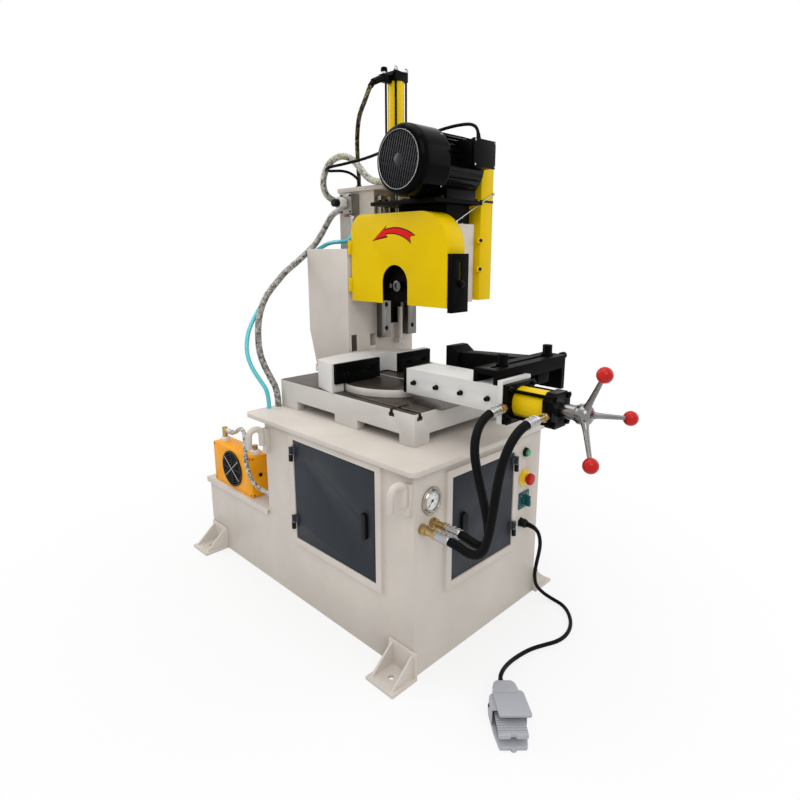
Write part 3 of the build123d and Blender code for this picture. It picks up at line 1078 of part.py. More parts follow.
hose_a = [(AX, port_y, AZ), (AX, -690, AZ), (AX, -722, 456), (AX, -747, 452), (-237, -768, 462),
          (-238, -780, 483), (-239, -779, 520), (-241, -763, 584), (-244, -744, 650), (-238, -724, 710),
          (-211, -713, 760), (-162, FIT_A[1], FIT_A[2]), FIT_A]
save("clamp_hose_a", cord("clamp_hose_a", hose_a, CLAMP_HOSE_D))
hose_b = [(BX, port_y, BZ), (BX, -700, BZ), (BX, -752, 446), (-278, -790, 460), (-274, -806, 512),
          (-266, -812, 588), (-255, -814, 655), (-240, -818, 713), (-212, -824, 761),
          (-166, FIT_B[1], FIT_B[2]), FIT_B]
save("clamp_hose_b", cord("clamp_hose_b", hose_b, CLAMP_HOSE_D))
BUNDLE_X, BUNDLE_Z = 118.0, 1356.0
bundle = [(BUNDLE_X, VALVE_Y[1], BUNDLE_Z), (BUNDLE_X, 246, BUNDLE_Z), (116, 284, 1336),
          (108, 308, 1300), (90, 318, 1264), (62, 322, 1228), (14, 327, 1188), (-30, 328, 1156),
          (-77, 328, 1126), (-112, 326, 1094), (-150, 322, 1062), (-181, 318, 1027), (-205, 312, 985),
          (-220, 306, 938), (-228, 298, 886), (-231, 289, 840), (-225, 277, 796), (-211, 257, 745),
          (-197, 234, 697), (-197, 234, TRAY_TOP)]
save("main_bundle", cord("main_bundle", bundle, BUNDLE_D))
coolant = [COCK, (COCK[0], COCK[1], 1266), (112, 172, 1242), (95, 206, 1238), (97, 250, 1237),
           (94, 286, 1231), (86, 312, 1217), (68, 340, 1199), (40, 354, 1186), (6, 358, 1170),
           (-55, 354, 1133), (-95, 352, 1097), (-135, 348, 1055), (-176, 343, 1010), (-212, 336, 969),
           (-243, 328, 927), (-262, 318, 890), (-274, 306, 848), (-274, 292, 808), (-266, 275, 772),
           (-252, 254, 735), (-238, 232, 696), (-238, 232, TRAY_TOP)]
save("coolant_hose", cord("coolant_hose", coolant, COOLANT_D))
LOOP_OUT_Y, LOOP_OUT_Z = 228.0, 1388.0
top_loop = [(COL_X[0], LOOP_OUT_Y, LOOP_OUT_Z), (104, LOOP_OUT_Y, LOOP_OUT_Z), (68, 227, 1396),
            (44, 225, 1417), (36, 224, 1449), (40, 220, 1481), (50, 210, 1512), (67, 192, 1535),
            (87, 167, 1544), (104, 141, 1535), (113, 118, 1513), (116, 94, 1487), (113, 66, 1465),
            (109, 34, 1450), (107, 0, 1442), (110, -40, 1440), (122, -82, 1450),
            (LOOP_IN_X, -126, MOTOR_Z), (LOOP_IN_X, LOOP_IN_Y, MOTOR_Z)]
save("top_bundle", cord("top_bundle", top_loop, LOOP_D))
feed_line = [FEED_FIT, (138, FEED_Y, FEED_FIT[2]), (110, 44, 1776), (92, 47, 1716), (76, 56, 1668),
             (80, 72, 1629), (98, 98, 1589), (128, 132, 1552), (154, 160, 1515), (169, 174, 1478),
             (171, 177, 1456), (171, 177, plate_top)]
save("feed_hose", cord("feed_hose", feed_line, FEED_HOSE_D))
box_mid = (TERMINAL_X[0] + TERMINAL_X[1]) / 2
box_y = TERMINAL_FRONT + 22
motor_line = [(box_mid, box_y, TERMINAL_Z[1]), (box_mid, box_y, 1560), (box_mid, -386, 1584),
              (150, -338, 1588), (144, -276, 1584), (136, -214, 1574), (122, -152, 1560), (75, -104, 1537),
              (74, -56, 1530), (72, -8, 1522), (63, 40, 1514), (49, 84, 1508), (34, 120, 1502),
              (22, 142, 1499), (12, 162, 1494), (19, 184, 1489), (44, 194, 1489), (70, 190, 1492),
              (100, 182, 1494), (127, 170, 1487), (145, 156, 1470), (149, 150, 1454), (149, 150, plate_top)]
save("motor_cable", cord("motor_cable", motor_line, MOTOR_CABLE_D))
WX, WZ = WALL_PORT_XZ
oil = [(cooler_mid, elbow_end, arm_z), (cooler_mid, 466, arm_z), (-269, 432, 507), (-274, 398, 528),
       (-282, 358, 536), (-294, 324, 522), (-308, 302, 488), (-318, 286, 446), (-322, 268, 404),
       (-318, 246, 366), (-306, 222, 342), (WX, 196, WZ), (WX, wall_end, WZ)]
save("cooler_hose", cord("cooler_hose", oil, COOLER_HOSE_D))
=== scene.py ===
# %% [markdown]
# # A pipe cutting machine, dressed for its portrait
# The solids of the machine come in as a fixed frame: every body, joint and size is settled
# there. This lesson gives that frame its looks. Nothing here moves a solid. A new piece either
# rides on a body of the frame, or stands in for one of its nodes. A few of these copies are
# trimmed or shifted a little, so that they sit as they do in the photograph.

# %% Load the frame
import json
import math

import bmesh
import bpy
from mathutils import Matrix, Vector


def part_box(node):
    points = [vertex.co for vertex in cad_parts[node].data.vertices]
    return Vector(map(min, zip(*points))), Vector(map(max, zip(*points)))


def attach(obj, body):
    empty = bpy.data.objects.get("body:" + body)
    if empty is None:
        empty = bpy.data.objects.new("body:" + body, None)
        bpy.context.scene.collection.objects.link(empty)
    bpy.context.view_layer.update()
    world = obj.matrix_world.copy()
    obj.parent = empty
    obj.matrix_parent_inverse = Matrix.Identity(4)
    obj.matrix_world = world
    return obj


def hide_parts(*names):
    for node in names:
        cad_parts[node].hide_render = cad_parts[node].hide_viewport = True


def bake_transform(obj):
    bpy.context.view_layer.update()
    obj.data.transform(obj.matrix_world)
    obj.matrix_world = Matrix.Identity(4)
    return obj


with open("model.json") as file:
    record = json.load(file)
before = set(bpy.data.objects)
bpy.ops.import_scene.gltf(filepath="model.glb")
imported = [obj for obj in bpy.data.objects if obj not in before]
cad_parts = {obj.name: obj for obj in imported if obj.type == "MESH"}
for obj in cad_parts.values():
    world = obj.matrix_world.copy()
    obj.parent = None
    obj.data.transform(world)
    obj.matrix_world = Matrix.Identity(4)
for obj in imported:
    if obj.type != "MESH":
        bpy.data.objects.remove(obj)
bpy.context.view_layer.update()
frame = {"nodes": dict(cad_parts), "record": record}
nodes = frame["nodes"]

# %% [markdown]
# ## Camera
# The photograph looks down on the machine's front left corner from about the height of its
# motor. The place and the lens come from matching the machine's own corners with the picture,
# and the small shift puts the horizon where the picture has it.

# %% Camera
LENS_MM, SENSOR_MM = 25.80, 36.0
SHIFT_X, SHIFT_Y = -0.0114, -0.0221
CAMERA_AT = (-1.334, -1.574, 1.200)
CAMERA_TURN, CAMERA_TILT = math.radians(-45.44), math.radians(12.81)

scene = bpy.context.scene
camera_data = bpy.data.cameras.new("studio_camera")
camera_data.lens = LENS_MM
camera_data.sensor_width = SENSOR_MM
camera_data.shift_x = SHIFT_X
camera_data.shift_y = SHIFT_Y
camera = bpy.data.objects.new("studio_camera", camera_data)
scene.collection.objects.link(camera)
flat_part = math.cos(CAMERA_TILT)
towards_camera = Vector((math.sin(CAMERA_TURN) * flat_part, -math.cos(CAMERA_TURN) * flat_part,
                         math.sin(CAMERA_TILT)))
camera.location = CAMERA_AT
camera.rotation_mode = "QUATERNION"
camera.rotation_quaternion = (-towards_camera).to_track_quat("-Z", "Y")
scene.camera = camera
print("camera at", tuple(camera.location))

# %% [markdown]
# ## Studio
# Soft light from all round shows painted steel best: a pale world, a wide lamp over the
# operator's left shoulder, one overhead, and two weaker ones that keep the shaded sides readable.
# The floor is white to the camera but still takes the machine's shadow, because near the machine
# only part of its shader glows.

# %% World and lamps
SEEN_RAYS = ("Is Camera Ray", "Is Glossy Ray", "Is Transmission Ray")
WORLD_DIM, WORLD_SEEN = 0.62, 1.0

scene.view_settings.view_transform = "Standard"
world = bpy.data.worlds.new("studio_world")
world.use_nodes = True
scene.world = world


def join(tree, way, first, second):
    """Joins two values, each a number or a socket, by a sum of one kind."""
    node = tree.nodes.new("ShaderNodeMath")
    node.operation = way
    for socket, given in zip(node.inputs, (first, second)):
        if isinstance(given, bpy.types.NodeSocket):
            tree.links.new(given, socket)
        else:
            socket.default_value = given
    return node.outputs[0]


def spread(tree, value, start, stop, low=0.0, high=1.0):
    """Carries a value from one range, start to stop, to another, low to high."""
    node = tree.nodes.new("ShaderNodeMapRange")
    for socket, given in (("From Min", start), ("From Max", stop), ("To Min", low), ("To Max", high)):
        node.inputs[socket].default_value = given
    tree.links.new(value, node.inputs["Value"])
    return node.outputs[0]


def any_ray(tree):
    """One where a ray is of a kind that sees the white room, else zero."""
    rays = tree.nodes.new("ShaderNodeLightPath")
    found = rays.outputs[SEEN_RAYS[0]]
    for kind in SEEN_RAYS[1:]:
        found = join(tree, "MAXIMUM", found, rays.outputs[kind])
    return found


glow = world.node_tree.nodes["Background"]
level = spread(world.node_tree, any_ray(world.node_tree), 0.0, 1.0, WORLD_DIM, WORLD_SEEN)
world.node_tree.links.new(level, glow.inputs["Strength"])
glow.inputs["Color"].default_value = (1.0, 1.0, 1.0, 1.0)


def lamp(name, at, aim, size, watts):
    """A square soft lamp that looks at a point."""
    data = bpy.data.lights.new(name, "AREA")
    data.size = size
    data.energy = watts
    thing = bpy.data.objects.new(name, data)
    scene.collection.objects.link(thing)
    thing.location = at
    thing.rotation_mode = "QUATERNION"
    thing.rotation_quaternion = (Vector(aim) - Vector(at)).to_track_quat("-Z", "Y")


lamp("key_lamp", (-1.9, -2.6, 3.3), (0.0, -0.1, 0.8), 2.2, 44)
lamp("fill_lamp", (2.6, -2.2, 2.2), (0.0, -0.2, 0.9), 2.4, 16)
lamp("top_lamp", (-0.2, 0.0, 4.4), (0.0, 0.0, 0.6), 2.6, 46)
lamp("rim_lamp", (-1.2, 2.8, 2.8), (0.0, 0.0, 0.9), 2.0, 28)

# %% Floor
FLOOR_REACH, FLOOR_DROP = 30.0, 0.0006
SHADOW_IN, SHADOW_OUT, SHADOW_WHITE = 0.5, 1.6, 0.70
PAPER = (0.86, 0.86, 0.86, 1.0)

floor_mesh = bpy.data.meshes.new("studio_floor")
bm = bmesh.new()
bmesh.ops.create_grid(bm, x_segments=1, y_segments=1, size=FLOOR_REACH)
bm.to_mesh(floor_mesh)
bm.free()
floor = bpy.data.objects.new("studio_floor", floor_mesh)
scene.collection.objects.link(floor)
floor.location = (0.0, 0.0, -FLOOR_DROP)
floor_mat = bpy.data.materials.new("studio_floor")
floor_mat.use_nodes = True
tree = floor_mat.node_tree
tree.nodes.remove(tree.nodes["Principled BSDF"])
paper = tree.nodes.new("ShaderNodeBsdfDiffuse")
paper.inputs["Color"].default_value = PAPER
white = tree.nodes.new("ShaderNodeEmission")
white.inputs["Strength"].default_value = 1.0
away = tree.nodes.new("ShaderNodeVectorMath")
away.operation = "LENGTH"
tree.links.new(tree.nodes.new("ShaderNodeTexCoord").outputs["Object"], away.inputs[0])
whiter = spread(tree, away.outputs["Value"], SHADOW_IN, SHADOW_OUT, SHADOW_WHITE, 1.0)
blend = tree.nodes.new("ShaderNodeMixShader")
tree.links.new(join(tree, "MULTIPLY", any_ray(tree), whiter), blend.inputs[0])
tree.links.new(paper.outputs[0], blend.inputs[1])
tree.links.new(white.outputs[0], blend.inputs[2])
tree.links.new(blend.outputs[0], tree.nodes["Material Output"].inputs["Surface"])
floor_mesh.materials.append(floor_mat)
print("floor laid")

# %% [markdown]
# ## Tools for finishes
# Each finish is a small node tree on Object coordinates, in metres, so a grain has its true
# size on every piece. These helpers only join nodes: a noise, a colour ramp, a mix and a bump.


# %% Node helpers
def start_finish(name):
    """A new material with its shader and the object's own coordinates."""
    mat = bpy.data.materials.new(name)
    mat.use_nodes = True
    tree = mat.node_tree
    shader = tree.nodes["Principled BSDF"]
    coords = tree.nodes.new("ShaderNodeTexCoord")
    return mat, tree, shader, coords.outputs["Object"]


def noise(tree, where, scale, detail=3.0, rough=0.55, stretch=None):
    """Cloudy grain; scale is in spots per metre, stretch draws it out along an axis."""
    if stretch:
        mapping = tree.nodes.new("ShaderNodeMapping")
        mapping.inputs["Scale"].default_value = stretch
        tree.links.new(where, mapping.inputs["Vector"])
        where = mapping.outputs[0]
    grain = tree.nodes.new("ShaderNodeTexNoise")
    grain.inputs["Scale"].default_value = scale
    grain.inputs["Detail"].default_value = detail
    grain.inputs["Roughness"].default_value = rough
    tree.links.new(where, grain.inputs["Vector"])
    return grain.outputs["Fac"]


def ramp(tree, value, *stops):
    """Turns a value into a colour or a grey through stops of (place, colour)."""
    node = tree.nodes.new("ShaderNodeValToRGB")
    band = node.color_ramp
    while len(band.elements) < len(stops):
        band.elements.new(0.5)
    for element, (place, colour) in zip(band.elements, stops):
        element.position = place
        shade = (colour, colour, colour) if isinstance(colour, float) else colour
        element.color = (*shade, 1.0)
    tree.links.new(value, node.inputs["Fac"])
    return node.outputs["Color"]


def mix(tree, share, first, second):
    """Mixes two colours by a share, which may be a number or a socket."""
    node = tree.nodes.new("ShaderNodeMix")
    node.data_type = "RGBA"
    factor, a, b = node.inputs[0], node.inputs[6], node.inputs[7]
    for socket, given in ((factor, share), (a, first), (b, second)):
        if isinstance(given, bpy.types.NodeSocket):
            tree.links.new(given, socket)
        elif isinstance(given, tuple):
            socket.default_value = (*given, 1.0)
        else:
            socket.default_value = given
    return node.outputs[2]


def bumped(tree, shader, height, strength, depth):
    """Raises the surface by a grey value; depth is in metres."""
    node = tree.nodes.new("ShaderNodeBump")
    node.inputs["Strength"].default_value = strength
    node.inputs["Distance"].default_value = depth
    tree.links.new(height, node.inputs["Height"])
    tree.links.new(node.outputs[0], shader.inputs["Normal"])


def times(colour, amount):
    """A darker or lighter step of a colour."""
    return tuple(min(1.0, c * amount) for c in colour)


def rgb(r, g, b):
    """A colour as a paint card gives it, 0 to 255, turned to the linear values of nodes."""
    return tuple(c / 255 / 12.92 if c < 11 else ((c / 255 + 0.055) / 1.055) ** 2.4 for c in (r, g, b))


print("finish tools ready")

# %% [markdown]
# ## Paints
# Almost all of the machine is sprayed steel. Sprayed enamel is never one flat colour: it has a
# faint cloudiness, a fine orange-peel skin that breaks up the reflections, and a little dust in
# its low places. One recipe gives all of these, and every paint is that recipe with its colour.


# %% Sprayed enamel
def enamel(name, colour, gloss, peel=0.10, cloud=0.06, dust=0.10, shine=0.32):
    """Sprayed paint: cloudy colour, orange-peel skin and settled dust."""
    mat, tree, shader, where = start_finish(name)
    low, high = times(colour, 1 - cloud), times(colour, 1 + cloud)
    clouds = ramp(tree, noise(tree, where, 5.0, 4.0), (0.3, low), (0.7, high))
    specks = ramp(tree, noise(tree, where, 230.0, 2.0), (0.60, 0.0), (0.78, 1.0))
    faint = join(tree, "MULTIPLY", specks, dust)
    tree.links.new(mix(tree, faint, clouds, times(colour, 0.55)), shader.inputs["Base Color"])
    rough = ramp(tree, noise(tree, where, 18.0, 3.0), (0.3, gloss), (0.75, min(1.0, gloss + 0.14)))
    tree.links.new(rough, shader.inputs["Roughness"])
    shader.inputs["Specular IOR Level"].default_value = shine
    bumped(tree, shader, noise(tree, where, 420.0, 2.0), peel, 0.0006)
    return mat


cream_enamel = enamel("cream_grey_enamel", rgb(206, 198, 189), 0.36)
white_enamel = enamel("vice_white_enamel", rgb(214, 212, 209), 0.34, shine=0.26)
door_enamel = enamel("anthracite_door_paint", rgb(47, 51, 57), 0.44, peel=0.30, shine=0.17)
guard_yellow = enamel("guard_yellow_paint", rgb(228, 192, 0), 0.34, cloud=0.04, shine=0.08)
gloss_black = enamel("motor_gloss_black", rgb(5, 5, 5), 0.20, peel=0.06, dust=0.05, shine=0.04)
cowl_black = enamel("cowl_gloss_black", rgb(4, 4, 5), 0.10, peel=0.03, dust=0.03, shine=0.035)
vice_black = enamel("vice_black_paint", rgb(8, 7, 7), 0.40, peel=0.22, shine=0.03)
cooler_orange = enamel("cooler_orange_paint", rgb(246, 164, 14), 0.34, shine=0.20)
valve_grey = enamel("valve_grey_paint", rgb(172, 170, 166), 0.40)
pedal_grey = enamel("foot_switch_grey", rgb(172, 174, 180), 0.42, peel=0.35)
barrel_yellow = enamel("barrel_yellow_paint", rgb(226, 190, 8), 0.20, 0.02, 0.03, 0.02, 0.14)
# painted highlight: the grille's slats are black; this mid grey stands in for the glints on their edges
grille_painted_highlight = enamel("grille_painted_highlight_paint", rgb(40, 40, 43), 0.24, shine=0.20)
red_paint = enamel("arrow_red_paint", rgb(222, 22, 30), 0.36, dust=0.03, shine=0.10)
black_print = enamel("arrow_black_outline", rgb(12, 11, 10), 0.40, shine=0.05)
print("paints:", len([m for m in bpy.data.materials if m.name.endswith(("paint", "enamel"))]))

# %% [markdown]
# ## Bare metals
# Machined and plated steel carry the marks of the tool that cut them: fine lines along a
# ground face, rings on a turned one. Stretching a noise along one axis draws such lines, and the
# lines change the gloss and the skin, not only the colour.


# %% Ground steel, turned steel, chrome and brass
def ground_metal(name, colour, rough, stretch, scale=260.0, stain=0.25, skin=0.08):
    """Metal with fine tool lines along one axis and faint stains."""
    mat, tree, shader, where = start_finish(name)
    lines = noise(tree, where, scale, 2.0, 0.6, stretch)
    stains = ramp(tree, noise(tree, where, 9.0, 5.0, 0.65), (0.42, 0.0), (0.72, 1.0))
    tone = ramp(tree, lines, (0.3, times(colour, 0.82)), (0.7, times(colour, 1.12)))
    soft = join(tree, "MULTIPLY", stains, stain)
    tree.links.new(mix(tree, soft, tone, times(colour, 0.45)), shader.inputs["Base Color"])
    shader.inputs["Metallic"].default_value = 1.0
    tree.links.new(ramp(tree, lines, (0.25, rough), (0.8, rough + 0.16)), shader.inputs["Roughness"])
    bumped(tree, shader, lines, skin, 0.0004)
    return mat


EVEN, TURNED = (1.0, 1.0, 1.0), (1.0, 0.2, 1.0)
bright_chrome = ground_metal("handwheel_chrome", rgb(132, 131, 130), 0.12, TURNED, stain=0.30, skin=0.03)
gauge_steel = ground_metal("gauge_rim_steel", rgb(158, 152, 143), 0.12, TURNED, stain=0.08, skin=0.03)
rail_steel = ground_metal("ground_rail_steel", rgb(120, 117, 114), 0.26, (1.0, 1.0, 0.04))
bolt_zinc = ground_metal("zinc_bolt_steel", rgb(178, 178, 180), 0.24, EVEN, stain=0.15)
brass = ground_metal("turned_brass", rgb(186, 160, 108), 0.24, (1.0, 0.3, 1.0), stain=0.30)
black_steel = ground_metal("oiled_black_steel", rgb(34, 33, 32), 0.34, (1.0, 1.0, 0.3), stain=0.20)
zinc_plate = ground_metal("zinc_valve_plate", rgb(150, 147, 142), 0.34, (1.0, 1.0, 0.3))
polished_black = ground_metal("polished_black_bolt", rgb(96, 96, 99), 0.10, EVEN, stain=0.10)
print("metals made")

# %% [markdown]
# The table is one casting with two finishes: cream paint on its sides, and a planed top left
# bare and oiled, which has gone dark brown-grey. Height and the distance from the rim tell them
# apart, so one material reads the object's own coordinates and changes over at the edge of the
# top and of its slots. The turntable changes over by height alone.

# %% Table casting and turntable
TABLE_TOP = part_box("table_casting")[1].z
DISC_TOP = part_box("turntable")[1].z
RIM_PAINT, BARE_DEEP, SLOT_DEEP, HALF_STEP = 0.0025, 0.0010, 0.0370, 0.00025


def above(tree, value, level, side=1.0):
    """One where a coordinate is past a level, with a soft step half a millimetre wide."""
    return spread(tree, value, level - HALF_STEP * side, level + HALF_STEP * side)


def planed_table(name, paint, iron):
    """Cream sides, and a dark top with dark slots, told apart by height and by the rim."""
    mat, tree, shader, where = start_finish(name)
    split = tree.nodes.new("ShaderNodeSeparateXYZ")
    tree.links.new(where, split.inputs[0])
    low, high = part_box("table_casting")
    bare = above(tree, split.outputs["Z"], TABLE_TOP - BARE_DEEP)
    within = above(tree, split.outputs["Z"], TABLE_TOP - SLOT_DEEP)
    for axis, first, last in (("X", low.x, high.x), ("Y", low.y, high.y)):
        within = join(tree, "MULTIPLY", within, above(tree, split.outputs[axis], first + RIM_PAINT))
        within = join(tree, "MULTIPLY", within, above(tree, split.outputs[axis], last - RIM_PAINT, -1.0))
    top = join(tree, "MAXIMUM", bare, within)
    lines = noise(tree, where, 330.0, 2.0, 0.6, (1.0, 0.05, 1.0))
    rust = ramp(tree, noise(tree, where, 26.0, 6.0, 0.7), (0.44, 0.0), (0.74, 0.7))
    cut = ramp(tree, lines, (0.3, times(iron, 0.7)), (0.7, times(iron, 1.3)))
    planed = mix(tree, rust, cut, rgb(66, 44, 30))
    clouds = ramp(tree, noise(tree, where, 5.0, 4.0), (0.3, times(paint, 0.93)), (0.7, times(paint, 1.05)))
    tree.links.new(mix(tree, top, clouds, planed), shader.inputs["Base Color"])
    tree.links.new(join(tree, "MULTIPLY", top, 0.75), shader.inputs["Metallic"])
    tree.links.new(ramp(tree, lines, (0.25, 0.36), (0.8, 0.52)), shader.inputs["Roughness"])
    bumped(tree, shader, noise(tree, where, 380.0, 2.0), 0.12, 0.0006)
    return mat


planed_iron = planed_table("planed_table_iron", rgb(206, 202, 197), rgb(98, 90, 84))


def turned_disc(name, colour, edge, centre):
    """A dark top with the lathe's rings about a centre, and a pale painted edge."""
    mat, tree, shader, where = start_finish(name)
    place = tree.nodes.new("ShaderNodeMapping")
    place.vector_type = "POINT"
    place.inputs["Location"].default_value = (-centre[0], -centre[1], 0.0)
    tree.links.new(where, place.inputs["Vector"])
    rings = tree.nodes.new("ShaderNodeTexWave")
    rings.wave_type = "RINGS"
    rings.rings_direction = "Z"
    rings.inputs["Scale"].default_value = 130.0
    rings.inputs["Distortion"].default_value = 1.2
    rings.inputs["Detail"].default_value = 2.0
    tree.links.new(place.outputs[0], rings.inputs["Vector"])
    stains = ramp(tree, noise(tree, where, 14.0, 5.0, 0.65), (0.45, 0.0), (0.75, 0.35))
    tone = ramp(tree, rings.outputs["Fac"], (0.2, times(colour, 0.86)), (0.8, times(colour, 1.08)))
    split = tree.nodes.new("ShaderNodeSeparateXYZ")
    tree.links.new(where, split.inputs[0])
    top = above(tree, split.outputs["Z"], DISC_TOP - BARE_DEEP)
    faced = mix(tree, stains, tone, times(colour, 0.5))
    tree.links.new(mix(tree, top, edge, faced), shader.inputs["Base Color"])
    tree.links.new(join(tree, "MULTIPLY", top, 0.75), shader.inputs["Metallic"])
    tree.links.new(ramp(tree, rings.outputs["Fac"], (0.2, 0.30), (0.8, 0.42)), shader.inputs["Roughness"])
    bumped(tree, shader, rings.outputs["Fac"], 0.08, 0.0003)
    return mat


faced_disc = turned_disc("faced_turntable_iron", rgb(84, 77, 71), rgb(214, 209, 202), (0.056, -0.140))
print("table finish changes over at", round(TABLE_TOP, 4), "m")

# %% [markdown]
# ## Plastics and rubber
# Moulded plastic shines softly through a thin clear skin; hose rubber is almost black, dull,
# and carries the fine cross-weave of the cloth that it was cured in.


# %% Moulded plastic and hose rubber
def moulded(name, colour, rough=0.26, coat=0.25, shine=0.4):
    """Moulded plastic with a faint flow mark and a clear skin."""
    mat, tree, shader, where = start_finish(name)
    flow = ramp(tree, noise(tree, where, 40.0, 3.0), (0.3, times(colour, 0.92)), (0.7, times(colour, 1.06)))
    tree.links.new(flow, shader.inputs["Base Color"])
    dull = ramp(tree, noise(tree, where, 90.0), (0.3, rough), (0.8, rough + 0.10))
    tree.links.new(dull, shader.inputs["Roughness"])
    shader.inputs["Coat Weight"].default_value = coat
    shader.inputs["Coat Roughness"].default_value = 0.12
    shader.inputs["Specular IOR Level"].default_value = shine
    bumped(tree, shader, noise(tree, where, 700.0, 2.0), 0.06, 0.0003)
    return mat


def rubber(name, colour, rough=0.5):
    """Cloth-cured hose rubber."""
    mat, tree, shader, where = start_finish(name)
    weave = tree.nodes.new("ShaderNodeTexVoronoi")
    weave.inputs["Scale"].default_value = 520.0
    tree.links.new(where, weave.inputs["Vector"])
    bloom = ramp(tree, noise(tree, where, 16.0, 4.0), (0.3, times(colour, 0.8)), (0.75, times(colour, 1.5)))
    tree.links.new(bloom, shader.inputs["Base Color"])
    dull = ramp(tree, noise(tree, where, 60.0), (0.3, rough - 0.08), (0.8, rough + 0.1))
    tree.links.new(dull, shader.inputs["Roughness"])
    shader.inputs["Specular IOR Level"].default_value = 0.07
    bumped(tree, shader, weave.outputs["Distance"], 0.25, 0.0006)
    return mat


red_plastic = moulded("ball_red_plastic", rgb(186, 24, 20), coat=0.12, shine=0.16)
green_plastic = moulded("start_green_plastic", rgb(38, 150, 92))
teal_plastic = moulded("selector_teal_plastic", rgb(12, 80, 82), 0.3, 0.1, 0.2)
yellow_plastic = moulded("stop_yellow_plastic", rgb(236, 198, 22))
black_plastic = moulded("black_moulded_plastic", rgb(17, 17, 18), 0.34, 0.0, 0.14)
white_print = moulded("white_panel_print", rgb(232, 232, 228), 0.4, 0.0)
dial_white = moulded("gauge_dial_white", rgb(240, 241, 240), 0.45, 0.0)
dial_blue = moulded("gauge_scale_blue", rgb(40, 62, 120), 0.5, 0.0)
hose_rubber = rubber("hose_black_rubber", rgb(9, 9, 10))
cord_rubber = rubber("cord_black_rubber", rgb(12, 11, 11), 0.42)
print("plastics and rubber made")

# %% [markdown]
# The bundles of hoses up the column are wrapped in clear packing film. Crumpled film shows as
# bright broken streaks over the black hose inside. These reflections are painted into the colour:
# the material switches between a dark base and a silvery painted highlight on the creases, and the
# same creases raise the surface.


# %% Film wrap and coolant hose
def film_wrap(name, inside, patch, crease_glint, cover, coat=0.6):
    """Crumpled film over a hose in two colours, with a painted highlight on its creases; a low cover lets
    more creases show.
    """
    mat, tree, shader, where = start_finish(name)
    folds = noise(tree, where, 62.0, 5.0, 0.7)
    fine = noise(tree, where, 210.0, 3.0, 0.6)
    both = mix(tree, 0.4, folds, fine)
    # painted highlight: the bright reflections on the film's creases are painted in as a silvery colour
    bright = ramp(tree, both, (cover - 0.06, 0.0), (cover + 0.06, 1.0))
    spots = ramp(tree, noise(tree, where, 27.0, 2.0, 0.5), (0.48, 0.0), (0.56, 1.0))
    under = mix(tree, spots, inside, patch)
    tree.links.new(mix(tree, bright, under, crease_glint), shader.inputs["Base Color"])
    tree.links.new(ramp(tree, fine, (0.3, 0.16), (0.8, 0.42)), shader.inputs["Roughness"])
    shader.inputs["Specular IOR Level"].default_value = coat * 0.8
    shader.inputs["Coat Weight"].default_value = coat
    shader.inputs["Coat Roughness"].default_value = 0.15
    bumped(tree, shader, both, 0.9, 0.004)
    return mat


clear_film = film_wrap("film_wrapped_hose", rgb(30, 27, 24), rgb(78, 72, 62), rgb(176, 172, 164), 0.50)
loop_film = film_wrap("silver_wrapped_loop", rgb(40, 38, 26), rgb(132, 128, 48), rgb(190, 188, 180), 0.49)
amber_film = film_wrap("amber_wrapped_hose", rgb(12, 11, 8), rgb(72, 62, 30), rgb(168, 158, 118), 0.57, 0.12)
foil_film = film_wrap("foil_wrapped_hose", rgb(26, 24, 22), rgb(92, 76, 52), rgb(200, 198, 192), 0.50)
teal_hose = moulded("coolant_teal_hose", rgb(84, 196, 206), 0.2, 0.5)
print("film and coolant hose made")
